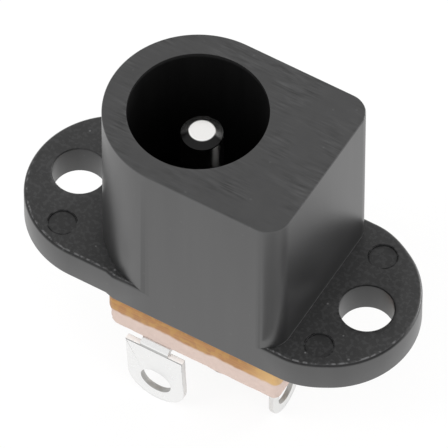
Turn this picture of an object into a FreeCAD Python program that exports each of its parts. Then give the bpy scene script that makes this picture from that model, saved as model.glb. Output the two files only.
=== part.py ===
import FreeCAD, Part
import math
import os

import Sketcher

# Flanged barrel power jack, in millimetres.
# The origin is midway between the two screw holes, on the flange's face that meets a panel.
# +Z points out of the plug bore, +X points to the squared end and -Y is the front.
# Each piece is drawn about the plug bore's axis, and its Placement then moves it into that frame.

SIZES = {
    # Plug bore and barrel
    "bore_dia": 6.4,
    "bore_depth": 9.0,
    "barrel_wall": 1.1,
    "barrel_reach": 6.6,
    "barrel_height": 8.8,
    "barrel_corner": 1.1,
    "barrel_edge": 0.08,
    # Flange and its screw holes
    "flange_length": 19.5,
    "flange_width": 8.35,
    "flange_thick": 1.7,
    "flange_offset": 1.27,
    "flange_edge": 0.18,
    "flange_foot_edge": 0.05,
    "screw_pitch": 15.0,
    "screw_hole": 2.5,
    # Skirt, flush with the barrel and proud of the flange's long sides, and its ramps into them
    "skirt_left": 1.95,
    "skirt_right": 7.45,
    "skirt_sink": 0.2,
    "left_ramp": 0.45,
    "right_ramp": 0.15,
    # Ejector marks
    "mark_dia": 1.3,
    "mark_depth": 0.06,
    "mark_span_x": 13.4,
    "mark_span_y": 5.7,
    # Wall and roof of the contact pocket, and the room its window leaves below and above the leaf
    "pocket_wall": 0.75,
    "pocket_roof": 1.4,
    "window_width": 2.4,
    "window_sill": 0.05,
    "window_lintel": 0.1,
    # Pegs of the housing, melted over below the board
    "peg_dia": 1.2,
    "peg_head_dia": 1.9,
    "peg_head_height": 0.35,
    "peg_head_round": 0.25,
    "peg_front_x": 3.3,
    "peg_back_x": 1.2,
    "peg_side": 3.0,
    # Base board
    "board_left": 2.35,
    "board_length": 8.95,
    "board_width": 8.3,
    "board_thick": 2.2,
    "board_clean": 1.05,
    "board_inset": 0.12,
    "board_corner": 0.35,
    # Centre pin
    "pin_offset": 0.2,
    "pin_dia": 1.95,
    "pin_sunk": 1.2,
    "tip_dia": 1.22,
    "tip_dome": 0.09,
    "tip_taper": 0.21,
    "collar_dia": 3.2,
    "collar_thick": 0.8,
    "tail_dia": 1.5,
    "rivet_dia": 2.3,
    "rivet_height": 0.36,
    # Centre terminal, and how far all the solder lugs reach below the board
    "lug_drop": 4.35,
    "terminal_thick": 0.3,
    "terminal_bend": 0.06,
    "terminal_proud": 0.18,
    "terminal_lean": 4.0,
    "leg_width": 1.45,
    "lug_width": 2.96,
    "lug_hole": 1.55,
    # Blades of the sleeve spring and the switch contact
    "spring_thick": 0.25,
    "blade_width": 2.3,
    "blade_hole": 1.3,
    "blade_reach": 5.45,
    "blade_offset": 1.4,
    "foot_shoulder": 0.3,
    "foot_height": 1.15,
    "jog_height": 0.9,
    # Leaf of the sleeve spring and finger of the switch contact
    "leaf_width": 1.7,
    "leaf_headroom": 0.175,
    "leaf_shoulder": 0.7,
    "leaf_intrusion": 0.6,
    "leaf_end": 0.9,
    "leaf_flat": 1.1,
    "leaf_bend": 0.5,
    "hairpin_share": 0.4,
    "finger_overlap": 0.6,
    "finger_run": 0.45,
    "finger_bend": 0.25,
    # Clearances
    "metal_gap": 0.1,
    "peg_gap": 0.05,
}

UP = FreeCAD.Vector(0, 0, 1)


def fill_sheet(doc):
    """Put every driving size into the sheet under its own alias."""
    sheet = doc.addObject("Spreadsheet::Sheet", "Sizes")
    for row, (alias, value) in enumerate(SIZES.items(), start=1):
        sheet.set(f"A{row}", alias)
        sheet.set(f"B{row}", str(value))
        sheet.setAlias(f"B{row}", alias)
    doc.recompute()
    return sheet


class Formula:
    """A size worked out from the sheet: an expression that can also be read as a number."""

    sheet = None

    def __init__(self, text):
        self.text = text

    def __str__(self):
        return self.text

    def __add__(self, other):
        return Formula(f"({self} + {other})")

    def __sub__(self, other):
        return Formula(f"({self} - {other})")

    def __mul__(self, other):
        return Formula(f"({self} * {other})")

    def __truediv__(self, other):
        return Formula(f"({self} / {other})")

    def __neg__(self):
        return Formula(f"(0 - {self})")

    @property
    def value(self):
        return float(Formula.sheet.evalExpression(self.text))


def size(alias):
    """The sheet's cell with this alias."""
    return Formula(f"Sizes.{alias}")


# Levels and faces that several features or pieces share
ZERO = Formula("0")
BORE_RADIUS = size("bore_dia") / 2
BARREL_RADIUS = BORE_RADIUS + size("barrel_wall")
FLANGE_RADIUS = size("flange_width") / 2
EAR_CENTRE = size("flange_length") / 2 - FLANGE_RADIUS
SEAT = -size("flange_thick")
BORE_FLOOR = size("barrel_height") - size("bore_depth")
BOARD_UNDERSIDE = SEAT - size("board_thick")
LUG_TIP = BOARD_UNDERSIDE - size("lug_drop")
BLADE_NEAR = size("blade_offset") - size("blade_width") / 2
BLADE_FAR = size("blade_offset") + size("blade_width") / 2
BLADE_WIDE = BLADE_FAR + size("foot_shoulder")
BLADE_EYE = LUG_TIP + size("blade_width") / 2
SPRING_MIDDLE = size("blade_reach") - size("spring_thick") / 2
POCKET_LEFT = BORE_RADIUS + size("pocket_wall")
POCKET_RIGHT = size("blade_reach") + size("metal_gap")
POCKET_SIDE = BLADE_WIDE + size("metal_gap")
POCKET_TOP = size("barrel_height") - size("pocket_roof")
FINGER_MIDDLE = POCKET_LEFT + size("spring_thick") / 2
STRAND_MIDDLE = FINGER_MIDDLE + size("spring_thick")
LEAF_TOP = POCKET_TOP - size("leaf_headroom") - size("spring_thick") / 2
LEAF_UPPER = LEAF_TOP - size("leaf_shoulder")
LEAF_LOWER = size("leaf_end") + size("leaf_flat")
PEG_PLACES = (
    ("front_peg", size("peg_front_x"), -size("peg_side")),
    ("back_peg", -size("peg_back_x"), size("peg_side")),
)


# Sketches
def new_body(doc, label):
    """Empty body for one piece."""
    body = doc.addObject("PartDesign::Body", label)
    body.Label = label
    return body


def new_sketch(body, name, plane, offset=None):
    """Sketch on one of the body's own origin planes, shifted along its normal by a formula."""
    sketch = body.newObject("Sketcher::SketchObject", name)
    origin_plane = next(item for item in body.Origin.OriginFeatures if item.Role == plane)
    sketch.AttachmentSupport = [(origin_plane, "")]
    sketch.MapMode = "FlatFace"
    if offset is not None:
        sketch.setExpression("AttachmentOffset.Base.z", str(offset))
    body.Document.recompute()
    return sketch


def lean_sketch(sketch, level, angle):
    """Put an upright sketch's origin at a level and lean it back about its own X axis."""
    turn = FreeCAD.Rotation(FreeCAD.Vector(1, 0, 0), angle.value)
    sketch.AttachmentOffset = FreeCAD.Placement(sketch.AttachmentOffset.Base, turn)
    sketch.setExpression("AttachmentOffset.Base.y", str(level))
    sketch.setExpression("AttachmentOffset.Rotation.Angle", str(angle))
    sketch.Document.recompute()


def tangent(angle):
    """Tangent of an angle in degrees."""
    return Formula(f"tan({angle} * 1 deg)")


def place(body, drawn_at=None):
    """Move a piece from the bore's axis, or the axis it is drawn about, into the part's frame."""
    offset = -size("flange_offset") if drawn_at is None else drawn_at - size("flange_offset")
    body.setExpression("Placement.Base.x", str(offset))
    body.Document.recompute()


def point_at(x, y):
    """Point of a sketch where two formulas put it."""
    return FreeCAD.Vector(x.value, y.value, 0)


def relate(sketch, kind, *targets):
    """Constraint without a value."""
    sketch.addConstraint(Sketcher.Constraint(kind, *targets))


def bind(sketch, kind, targets, formula, name):
    """Driving dimension of a sketch, tied to a formula of the sheet."""
    index = sketch.addConstraint(Sketcher.Constraint(kind, *targets, formula.value))
    sketch.renameConstraint(index, name)
    sketch.setExpression(f"Constraints.{name}", str(formula))


def bind_point(sketch, target, x, y, name):
    """Hold a point of the sketch at the place that two formulas give."""
    bind(sketch, "DistanceX", (-1, 1) + target, x, name + "_x")
    bind(sketch, "DistanceY", (-1, 1) + target, y, name + "_y")


def add_circle(sketch, x, y, diameter, name="ring"):
    """Circle about a point given by two formulas."""
    circle = Part.Circle(point_at(x, y), UP, diameter.value / 2)
    index = sketch.addGeometry(circle, False)
    bind_point(sketch, (index, 3), x, y, name + "_at")
    bind(sketch, "Diameter", (index,), diameter, name + "_dia")


def corner_arc(before, corner, after, radius):
    """Arc that rounds a corner, its two ends along the way, and whether it turns left."""
    way_in = (corner - before).normalize()
    way_out = (after - corner).normalize()
    turn = math.atan2(way_in.cross(way_out).z, way_in.dot(way_out))
    run = radius * math.tan(abs(turn) / 2)
    arrival = corner - way_in * run
    departure = corner + way_out * run
    inward = (way_out - way_in).normalize()
    centre = corner + inward * (radius / math.cos(turn / 2))
    ends = (arrival, departure) if turn > 0 else (departure, arrival)
    angles = [math.atan2(end.y - centre.y, end.x - centre.x) for end in ends]
    arc = Part.ArcOfCircle(Part.Circle(centre, UP, radius), *angles)
    return arc, arrival, departure, turn > 0


def draw_route(sketch, corners, closed=True, name="corner"):
    """Lines from corner to corner, held by formulas; returns the lines' numbers.

    Each corner has an x and a y formula, and a third for its radius where it is rounded.
    """
    spots = [point_at(*corner[:2]) for corner in corners]
    count = len(corners)
    arrivals = list(spots)
    departures = list(spots)
    arcs = {}
    for index, corner in enumerate(corners):
        if len(corner) == 3:
            after = spots[(index + 1) % count]
            rounding = corner_arc(spots[index - 1], spots[index], after, corner[2].value)
            arc, arrivals[index], departures[index], left = rounding
            arcs[index] = (sketch.addGeometry(arc, False), left)
    lines = []
    for index in range(count if closed else count - 1):
        line = Part.LineSegment(departures[index], arrivals[(index + 1) % count])
        lines.append(sketch.addGeometry(line, False))
    for index, corner in enumerate(corners):
        label = f"{name}{index}"
        starting = not closed and index == 0
        ending = not closed and index == count - 1
        if index in arcs:
            arc, left = arcs[index]
            near, far = (1, 2) if left else (2, 1)
            mark = sketch.addGeometry(Part.Point(spots[index]), True)
            bind_point(sketch, (mark, 1), corner[0], corner[1], label)
            relate(sketch, "PointOnObject", mark, 1, lines[index - 1])
            relate(sketch, "PointOnObject", mark, 1, lines[index])
            relate(sketch, "Tangent", lines[index - 1], 2, arc, near)
            relate(sketch, "Tangent", arc, far, lines[index], 1)
            bind(sketch, "Radius", (arc,), corner[2], label + "_radius")
        elif ending:
            bind_point(sketch, (lines[-1], 2), corner[0], corner[1], label)
        else:
            bind_point(sketch, (lines[index], 1), corner[0], corner[1], label)
            if not starting:
                relate(sketch, "Coincident", lines[index - 1], 2, lines[index], 1)
    return lines


def draw_box(sketch, left, right, bottom, top, name="corner"):
    """Rectangle between four formulas."""
    corners = [(left, bottom), (right, bottom), (right, top), (left, top)]
    draw_route(sketch, corners, name=name)


def add_round_end(sketch, lines, middle, level, width, hole):
    """Half round lower end that joins the first and last side lines, with an eye at its centre."""
    circle = Part.Circle(point_at(middle, level), UP, width.value / 2)
    arc = sketch.addGeometry(Part.ArcOfCircle(circle, math.pi, 2 * math.pi), False)
    starts_left = sketch.Geometry[lines[0]].StartPoint.x < middle.value
    first, last = (1, 2) if starts_left else (2, 1)
    relate(sketch, "Tangent", lines[0], 1, arc, first)
    relate(sketch, "Coincident", lines[-1], 2, arc, last)
    add_circle(sketch, middle, level, hole, "eye")


def add_cap(sketch, line, end, pole, name):
    """Dome from a line's end to its pole on the upright axis; returns the pole as arc and end."""
    edge = sketch.Geometry[line]
    rim = edge.StartPoint if end == 1 else edge.EndPoint
    rise = pole.value - rim.y
    radius = (rim.x**2 + rise**2) / (2 * abs(rise))
    lean = math.asin(rim.x / radius)
    upright = math.pi / 2
    angles = (upright - lean, upright) if rise > 0 else (-upright, lean - upright)
    centre = FreeCAD.Vector(0, pole.value - math.copysign(radius, rise), 0)
    arc = sketch.addGeometry(Part.ArcOfCircle(Part.Circle(centre, UP, radius), *angles), False)
    rim_end, pole_end = (1, 2) if rise > 0 else (2, 1)
    relate(sketch, "Coincident", line, end, arc, rim_end)
    relate(sketch, "PointOnObject", arc, 3, -2)
    relate(sketch, "PointOnObject", arc, pole_end, -2)
    bind(sketch, "DistanceY", (-1, 1, arc, pole_end), pole, name)
    return arc, pole_end


# Features
def pad(body, sketch, name, length, reverse=False, symmetric=False):
    """Material added from a sketch."""
    feature = body.newObject("PartDesign::Pad", name)
    feature.Profile = sketch
    feature.setExpression("Length", str(length))
    feature.Reversed = reverse
    feature.SideType = "Symmetric" if symmetric else "One side"
    body.Document.recompute()
    return feature


def pocket(body, sketch, name, length, reverse=False):
    """Material taken away from a sketch."""
    before = body.Shape.Volume
    feature = body.newObject("PartDesign::Pocket", name)
    feature.Profile = sketch
    feature.setExpression("Length", str(length))
    feature.Reversed = reverse
    body.Document.recompute()
    if not body.Shape.Volume < before:
        raise RuntimeError(f"{name} cuts nothing")


def drill_through(body, sketch, name, diameter):
    """Plain through holes at the circles of a sketch."""
    before = body.Shape.Volume
    feature = body.newObject("PartDesign::Hole", name)
    feature.Profile = sketch
    body.Document.recompute()
    feature.Threaded = False
    feature.DepthType = "ThroughAll"
    feature.setExpression("Diameter", str(diameter))
    body.Document.recompute()
    if not body.Shape.Volume < before:
        raise RuntimeError(f"{name} cuts nothing")


def sweep(body, profile, path, name):
    """Strip that follows a path with its section."""
    feature = body.newObject("PartDesign::AdditivePipe", name)
    feature.Profile = profile
    feature.Spine = (path, [""])
    body.Document.recompute()


def round_flat_edges(body, name, radius, levels):
    """Round the body's edges that lie flat at one of the levels."""
    tip = body.Tip
    heights = [level.value for level in levels]
    picked = []
    for number, edge in enumerate(tip.Shape.Edges, start=1):
        box = edge.BoundBox
        flat = box.ZLength < 1e-6
        if flat and any(abs(box.ZMin - height) < 1e-6 for height in heights):
            picked.append(f"Edge{number}")
    if not picked:
        raise RuntimeError(f"{name} finds no edge")
    feature = body.newObject("PartDesign::Fillet", name)
    feature.Base = (tip, picked)
    feature.setExpression("Radius", str(radius))
    body.Document.recompute()


# Housing
def draw_barrel(sketch):
    """D shape of the barrel: half round about the bore, squared with two round corners beyond."""
    radius = BARREL_RADIUS.value
    circle = Part.Circle(FreeCAD.Vector(0, 0, 0), UP, radius)
    end = sketch.addGeometry(Part.ArcOfCircle(circle, math.pi / 2, 3 * math.pi / 2), False)
    reach = size("barrel_reach")
    corner = size("barrel_corner")
    corners = [
        (ZERO, -BARREL_RADIUS),
        (reach, -BARREL_RADIUS, corner),
        (reach, BARREL_RADIUS, corner),
        (ZERO, BARREL_RADIUS),
    ]
    lines = draw_route(sketch, corners, closed=False)
    relate(sketch, "Tangent", lines[0], 1, end, 2)
    relate(sketch, "Coincident", lines[-1], 2, end, 1)


def draw_flange(sketch):
    """Oval flange: two ears of the flange's half width joined by straight sides."""
    left = size("flange_offset") - EAR_CENTRE
    right = size("flange_offset") + EAR_CENTRE
    radius = FLANGE_RADIUS.value
    half = math.pi / 2
    left_circle = Part.Circle(point_at(left, ZERO), UP, radius)
    right_circle = Part.Circle(point_at(right, ZERO), UP, radius)
    left_ear = sketch.addGeometry(Part.ArcOfCircle(left_circle, half, 3 * half), False)
    right_ear = sketch.addGeometry(Part.ArcOfCircle(right_circle, -half, half), False)
    for start, end, sign in ((left, right, -1), (right, left, 1)):
        ends = [FreeCAD.Vector(x.value, sign * radius, 0) for x in (start, end)]
        side = sketch.addGeometry(Part.LineSegment(*ends), False)
        before, after = (left_ear, right_ear) if sign < 0 else (right_ear, left_ear)
        relate(sketch, "Tangent", before, 2, side, 1)
        relate(sketch, "Tangent", side, 2, after, 1)
    bind_point(sketch, (left_ear, 3), left, ZERO, "left_ear")
    bind_point(sketch, (right_ear, 3), right, ZERO, "right_ear")
    bind(sketch, "Radius", (left_ear,), FLANGE_RADIUS, "ear_radius")
    relate(sketch, "Equal", left_ear, right_ear)


def draw_skirt(sketch):
    """Skirt in plan: flush with the barrel's flat sides, with a ramp into the flange at each end."""
    left = -size("skirt_left")
    right = size("skirt_right")
    ends = (left - size("left_ramp"), right + size("right_ramp"))
    sunk = BARREL_RADIUS - size("skirt_sink")
    corners = [
        (ends[0], -sunk),
        (left, -BARREL_RADIUS),
        (right, -BARREL_RADIUS),
        (ends[1], -sunk),
        (ends[1], sunk),
        (right, BARREL_RADIUS),
        (left, BARREL_RADIUS),
        (ends[0], sunk),
    ]
    draw_route(sketch, corners)


def build_shell(body):
    """Outer form of the housing: flange, skirt, barrel and the two melted pegs."""
    sketch = new_sketch(body, "FlangeOutline", "XY_Plane")
    draw_flange(sketch)
    pad(body, sketch, "Flange", size("flange_thick"), reverse=True)
    sketch = new_sketch(body, "SkirtOutline", "XY_Plane")
    draw_skirt(sketch)
    pad(body, sketch, "Skirt", size("flange_thick"), reverse=True)
    round_flat_edges(body, "FlangeTopEdge", size("flange_edge"), (ZERO,))
    round_flat_edges(body, "FlangeFootEdge", size("flange_foot_edge"), (SEAT,))

    sketch = new_sketch(body, "BarrelOutline", "XY_Plane", SEAT)
    draw_barrel(sketch)
    pad(body, sketch, "Barrel", size("barrel_height") - SEAT)
    round_flat_edges(body, "BarrelEdge", size("barrel_edge"), (size("barrel_height"),))

    posts = new_sketch(body, "PegCircles", "XY_Plane", SEAT)
    heads = new_sketch(body, "PegHeadCircles", "XY_Plane", BOARD_UNDERSIDE)
    for name, x, y in PEG_PLACES:
        add_circle(posts, x, y, size("peg_dia"), name)
        add_circle(heads, x, y, size("peg_head_dia"), name)
    pad(body, posts, "PegPosts", size("board_thick"), reverse=True)
    pad(body, heads, "PegHeads", size("peg_head_height"), reverse=True)
    head_end = BOARD_UNDERSIDE - size("peg_head_height")
    round_flat_edges(body, "PegHeadEdges", size("peg_head_round"), (head_end,))


def cut_hollows(body):
    """Plug bore, contact pocket with its window, and the seat of the pin's collar."""
    sketch = new_sketch(body, "BoreCircle", "XY_Plane", size("barrel_height"))
    add_circle(sketch, ZERO, ZERO, size("bore_dia"))
    pocket(body, sketch, "PlugBore", size("bore_depth"))

    sketch = new_sketch(body, "PocketOutline", "XY_Plane", SEAT)
    draw_box(sketch, POCKET_LEFT, POCKET_RIGHT, -POCKET_SIDE, POCKET_SIDE)
    pocket(body, sketch, "ContactPocket", POCKET_TOP - SEAT, reverse=True)

    half = size("window_width") / 2
    sketch = new_sketch(body, "WindowOutline", "YZ_Plane", POCKET_LEFT)
    sill = LEAF_LOWER - size("window_sill")
    draw_box(sketch, -half, half, sill, LEAF_UPPER + size("window_lintel"))
    pocket(body, sketch, "LeafWindow", POCKET_LEFT)

    sketch = new_sketch(body, "PinHoleCircle", "XY_Plane", BORE_FLOOR)
    add_circle(sketch, size("pin_offset"), ZERO, size("pin_dia") + size("metal_gap") * 2)
    pocket(body, sketch, "PinHole", BORE_FLOOR - SEAT)

    sketch = new_sketch(body, "CollarCircle", "XY_Plane", SEAT)
    add_circle(sketch, size("pin_offset"), ZERO, size("collar_dia") + size("metal_gap") * 2)
    pocket(body, sketch, "CollarSeat", size("collar_thick"), reverse=True)


def make_housing(doc):
    """Moulded housing: the outer form, its hollows, the screw holes and the ejector marks."""
    body = new_body(doc, "housing")
    build_shell(body)
    cut_hollows(body)

    sketch = new_sketch(body, "ScrewCentres", "XY_Plane")
    for name, side in (("left", -1), ("right", 1)):
        x = size("flange_offset") + size("screw_pitch") * side / 2
        add_circle(sketch, x, ZERO, size("screw_hole"), name)
    drill_through(body, sketch, "ScrewHoles", size("screw_hole"))

    sketch = new_sketch(body, "MarkCircles", "XY_Plane")
    for name, side, row in (("a", -1, -1), ("b", -1, 1), ("c", 1, -1), ("d", 1, 1)):
        x = size("flange_offset") + size("mark_span_x") * side / 2
        y = size("mark_span_y") * row / 2
        add_circle(sketch, x, y, size("mark_dia"), name)
    pocket(body, sketch, "EjectorMarks", size("mark_depth"))
    place(body)
    return body


# Board
def make_board(doc):
    """Blanked board: a clean upper band, a tapered broken band, and holes for metal and pegs."""
    body = new_body(doc, "base_board")
    left = -size("board_left")
    right = size("board_length") - size("board_left")
    half = size("board_width") / 2
    corner = size("board_corner")
    outline = [
        (left, -half, corner),
        (right, -half, corner),
        (right, half, corner),
        (left, half, corner),
    ]
    broken = size("board_thick") - size("board_clean")
    sketch = new_sketch(body, "BoardOutline", "XY_Plane", SEAT)
    draw_route(sketch, outline)
    pad(body, sketch, "CleanBand", size("board_clean"), reverse=True)
    sketch = new_sketch(body, "BrokenOutline", "XY_Plane", SEAT - size("board_clean"))
    draw_route(sketch, outline)
    lower = pad(body, sketch, "BrokenBand", broken, reverse=True)
    lower.setExpression("TaperAngle", f"-atan({size('board_inset')} / {broken})")
    doc.recompute()

    sketch = new_sketch(body, "TailCircle", "XY_Plane", SEAT)
    add_circle(sketch, size("pin_offset"), ZERO, size("tail_dia") + size("metal_gap"))
    pocket(body, sketch, "TailHole", size("board_thick"))
    sketch = new_sketch(body, "PegCircles", "XY_Plane", SEAT)
    for name, x, y in PEG_PLACES:
        add_circle(sketch, x, y, size("peg_dia") + size("peg_gap") * 2, name)
    pocket(body, sketch, "PegHoles", size("board_thick"))

    gap = size("metal_gap")
    inner = size("blade_reach") - size("spring_thick") - gap
    outer = size("blade_reach") + gap
    sketch = new_sketch(body, "SlotOutlines", "XY_Plane", SEAT)
    draw_box(sketch, inner, outer, -BLADE_FAR - gap, gap - BLADE_NEAR, "front")
    draw_box(sketch, inner, outer, BLADE_NEAR - gap, BLADE_FAR + gap, "back")
    pocket(body, sketch, "BladeSlots", size("board_thick"))
    place(body)
    return body


# Pin and terminal
def make_pin(doc):
    """Turned pin: domed tip, shank, collar on the board, and a tail riveted over the terminal."""
    body = new_body(doc, "centre_pin")
    tip = size("barrel_height") - size("pin_sunk")
    dome_rim = tip - size("tip_dome")
    collar_top = SEAT + size("collar_thick")
    rivet_top = BOARD_UNDERSIDE - size("terminal_thick")
    shank = size("pin_dia") / 2
    collar = size("collar_dia") / 2
    tail = size("tail_dia") / 2
    profile = [
        (size("tip_dia") / 2, dome_rim),
        (shank, dome_rim - size("tip_taper")),
        (shank, collar_top),
        (collar, collar_top),
        (collar, SEAT),
        (tail, SEAT),
        (tail, rivet_top),
        (size("rivet_dia") / 2, rivet_top),
    ]
    sketch = new_sketch(body, "PinProfile", "XZ_Plane")
    lines = draw_route(sketch, profile, closed=False)
    top = add_cap(sketch, lines[0], 1, tip, "tip")
    bottom = add_cap(sketch, lines[-1], 2, rivet_top - size("rivet_height"), "rivet")
    ends = [sketch.getPoint(*pole) for pole in (bottom, top)]
    axis = sketch.addGeometry(Part.LineSegment(*ends), False)
    relate(sketch, "Coincident", axis, 1, *bottom)
    relate(sketch, "Coincident", axis, 2, *top)
    turned = body.newObject("PartDesign::Revolution", "TurnedPin")
    turned.Profile = sketch
    turned.ReferenceAxis = (sketch, ["V_Axis"])
    turned.Angle = 360
    doc.recompute()
    place(body, size("pin_offset"))
    return body


def make_centre_terminal(doc):
    """Centre terminal: ring on the pin's tail, leg under the board, and front lug that leans back."""
    body = new_body(doc, "centre_terminal")
    thick = size("terminal_thick")
    middle = thick / 2 - size("board_width") / 2 - size("terminal_proud")
    level = BOARD_UNDERSIDE - thick / 2
    lean = size("terminal_lean")
    bend = size("terminal_bend") + thick / 2
    shoulder = -bend

    half = size("leg_width") / 2
    section = new_sketch(body, "LegSection", "XZ_Plane")
    draw_box(section, -half, half, BOARD_UNDERSIDE - thick, BOARD_UNDERSIDE)
    path = new_sketch(body, "LegPath", "YZ_Plane")
    drop = bend + thick
    foot = middle + drop * tangent(lean)
    draw_route(path, [(ZERO, level), (middle, level, bend), (foot, level - drop)], closed=False)
    sweep(body, section, path, "Leg")

    sketch = new_sketch(body, "RingOutline", "XY_Plane", BOARD_UNDERSIDE)
    add_circle(sketch, ZERO, ZERO, size("lug_width"))
    pad(body, sketch, "Ring", thick, reverse=True)

    half = size("lug_width") / 2
    eye = LUG_TIP - level + half
    sketch = new_sketch(body, "LugOutline", "XZ_Plane", -middle)
    lean_sketch(sketch, level, lean)
    corners = [(-half, eye), (-half, shoulder), (half, shoulder), (half, eye)]
    lines = draw_route(sketch, corners, closed=False)
    add_round_end(sketch, lines, ZERO, eye, size("lug_width"), size("lug_hole"))
    pad(body, sketch, "Lug", thick, symmetric=True)

    sketch = new_sketch(body, "TailCircle", "XY_Plane", BOARD_UNDERSIDE)
    add_circle(sketch, ZERO, ZERO, size("tail_dia"))
    pocket(body, sketch, "TailHole", thick)
    place(body, size("pin_offset"))
    return body


# Sleeve spring and switch contact
def add_blade(body, side, above):
    """Blade through the board: eye below, shoulder on the board, and what rises above it.

    The side is -1 at the front and 1 at the back. Each point above the board is a pair of
    formulas, the blade's near side first.
    """
    near = BLADE_NEAR * side
    far = BLADE_FAR * side
    wide = BLADE_WIDE * side
    corners = [(near, BLADE_EYE), *above, (wide, SEAT), (far, SEAT), (far, BLADE_EYE)]
    sketch = new_sketch(body, "BladeOutline", "YZ_Plane", size("blade_reach"))
    lines = draw_route(sketch, corners, closed=False)
    middle = size("blade_offset") * side
    add_round_end(sketch, lines, middle, BLADE_EYE, size("blade_width"), size("blade_hole"))
    pad(body, sketch, "Blade", size("spring_thick"), reverse=True)


def make_sleeve_spring(doc):
    """Sleeve contact: blade, foot, a jog to the middle, and a leaf bowed into the bore."""
    body = new_body(doc, "sleeve_spring")
    thick = size("spring_thick")
    foot = SEAT + size("foot_height")
    jog = foot + size("jog_height")
    half = size("leaf_width") / 2
    above = [(-BLADE_NEAR, foot), (half, foot), (half, jog), (-BLADE_WIDE, jog)]
    add_blade(body, -1, above)

    section = new_sketch(body, "LeafSection", "XY_Plane", foot)
    inner = size("blade_reach") - thick
    draw_box(section, inner, size("blade_reach"), -half, half)
    crest = BORE_RADIUS - size("leaf_intrusion") + thick / 2
    hairpin = (SPRING_MIDDLE - STRAND_MIDDLE) * size("hairpin_share")
    bend = size("leaf_bend")
    route = [
        (SPRING_MIDDLE, foot),
        (SPRING_MIDDLE, LEAF_TOP, hairpin),
        (STRAND_MIDDLE, LEAF_TOP, hairpin),
        (STRAND_MIDDLE, LEAF_UPPER, bend),
        (crest, (LEAF_UPPER + LEAF_LOWER) / 2, bend),
        (STRAND_MIDDLE, LEAF_LOWER, bend),
        (STRAND_MIDDLE, size("leaf_end")),
    ]
    path = new_sketch(body, "LeafPath", "XZ_Plane")
    draw_route(path, route, closed=False)
    sweep(body, section, path, "Leaf")
    place(body)
    return body


def make_switch_contact(doc):
    """Switch contact: blade, foot, and a finger that the spring leaf rests on."""
    body = new_body(doc, "switch_contact")
    thick = size("spring_thick")
    run = SEAT + size("finger_run") + thick / 2
    bend = size("finger_bend")
    foot = run - bend
    add_blade(body, 1, [(BLADE_NEAR, foot), (BLADE_WIDE, foot)])

    section = new_sketch(body, "FingerSection", "XY_Plane", SEAT)
    inner = size("blade_reach") - thick
    draw_box(section, inner, size("blade_reach"), BLADE_NEAR, BLADE_FAR)
    route = [
        (SPRING_MIDDLE, SEAT),
        (SPRING_MIDDLE, run, bend),
        (FINGER_MIDDLE, run, bend),
        (FINGER_MIDDLE, size("leaf_end") + size("finger_overlap")),
    ]
    path = new_sketch(body, "FingerPath", "XZ_Plane", -size("blade_offset"))
    draw_route(path, route, closed=False)
    sweep(body, section, path, "Finger")
    place(body)
    return body


def check(doc, bodies):
    """Stop if any feature failed or any piece has no sound solid."""
    for item in doc.Objects:
        if {"Invalid", "Error"} & set(item.State):
            raise RuntimeError(f"{item.Name} failed")
    for body in bodies:
        shape = body.Shape
        if shape.isNull() or not shape.isValid() or len(shape.Solids) != 1:
            raise RuntimeError(f"{body.Label} is not one sound solid")


def main():
    doc = FreeCAD.newDocument("BarrelJack")
    Formula.sheet = fill_sheet(doc)
    bodies = [
        make_housing(doc),
        make_board(doc),
        make_pin(doc),
        make_centre_terminal(doc),
        make_sleeve_spring(doc),
        make_switch_contact(doc),
    ]
    doc.recompute()
    check(doc, bodies)
    os.makedirs("parts", exist_ok=True)
    for body in bodies:
        body.Shape.exportStep(f"parts/{body.Label}.step")
        print(body.Label, round(body.Shape.Volume, 3), "mm3")


main()
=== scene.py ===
"""Looks of the flanged barrel power jack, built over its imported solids.

Meshes are made in millimetres about the plug bore's axis, with z = 0 on the flange's panel face,
and `settle` turns a finished mesh into the row's frame in metres. Materials read places in
millimetres in the row's frame, and the studio stands in that frame in metres.
"""

from __future__ import annotations

import logging
import math
from collections.abc import Callable, Iterable, Sequence
from dataclasses import dataclass, field
from enum import Enum
from typing import Protocol

import bmesh
import bpy
from mathutils import Matrix, Vector, noise

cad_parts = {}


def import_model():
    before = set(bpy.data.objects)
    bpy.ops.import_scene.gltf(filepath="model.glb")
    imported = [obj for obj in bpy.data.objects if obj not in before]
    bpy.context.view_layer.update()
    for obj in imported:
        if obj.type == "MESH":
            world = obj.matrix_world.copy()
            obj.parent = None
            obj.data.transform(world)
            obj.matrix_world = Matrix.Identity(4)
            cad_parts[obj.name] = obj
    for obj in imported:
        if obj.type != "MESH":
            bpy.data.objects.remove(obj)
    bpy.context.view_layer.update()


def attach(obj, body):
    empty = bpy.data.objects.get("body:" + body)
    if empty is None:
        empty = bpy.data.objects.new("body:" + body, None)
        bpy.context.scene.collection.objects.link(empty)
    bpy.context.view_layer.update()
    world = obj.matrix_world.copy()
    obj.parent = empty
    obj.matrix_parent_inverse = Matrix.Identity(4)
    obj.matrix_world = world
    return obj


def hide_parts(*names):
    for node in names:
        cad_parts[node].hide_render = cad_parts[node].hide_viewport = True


LOG = logging.getLogger("jack")
MILLIMETRE = 0.001
BORE_TO_ROW = Vector((-1.27, 0.0, 0.0))
WHITE = (1.0, 1.0, 1.0, 1.0)

# Lengths that several pieces share, in millimetres about the bore's axis
PIN_OFFSET = 0.2
FLANGE_MIDDLE = 1.27
BOARD_TOP = -1.7
BLADE_OFFSET = 1.4
BLADE_REACH = 5.45
BLADE_THICKNESS = 0.25
LUG_END = -8.25
SHOULDER = (2.55, 2.85)

Point = tuple[float, float]
Span = tuple[float, float]
Place = tuple[float, float, float]
Colour = tuple[float, float, float]
Weights = tuple[tuple[str, float], ...]


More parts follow.
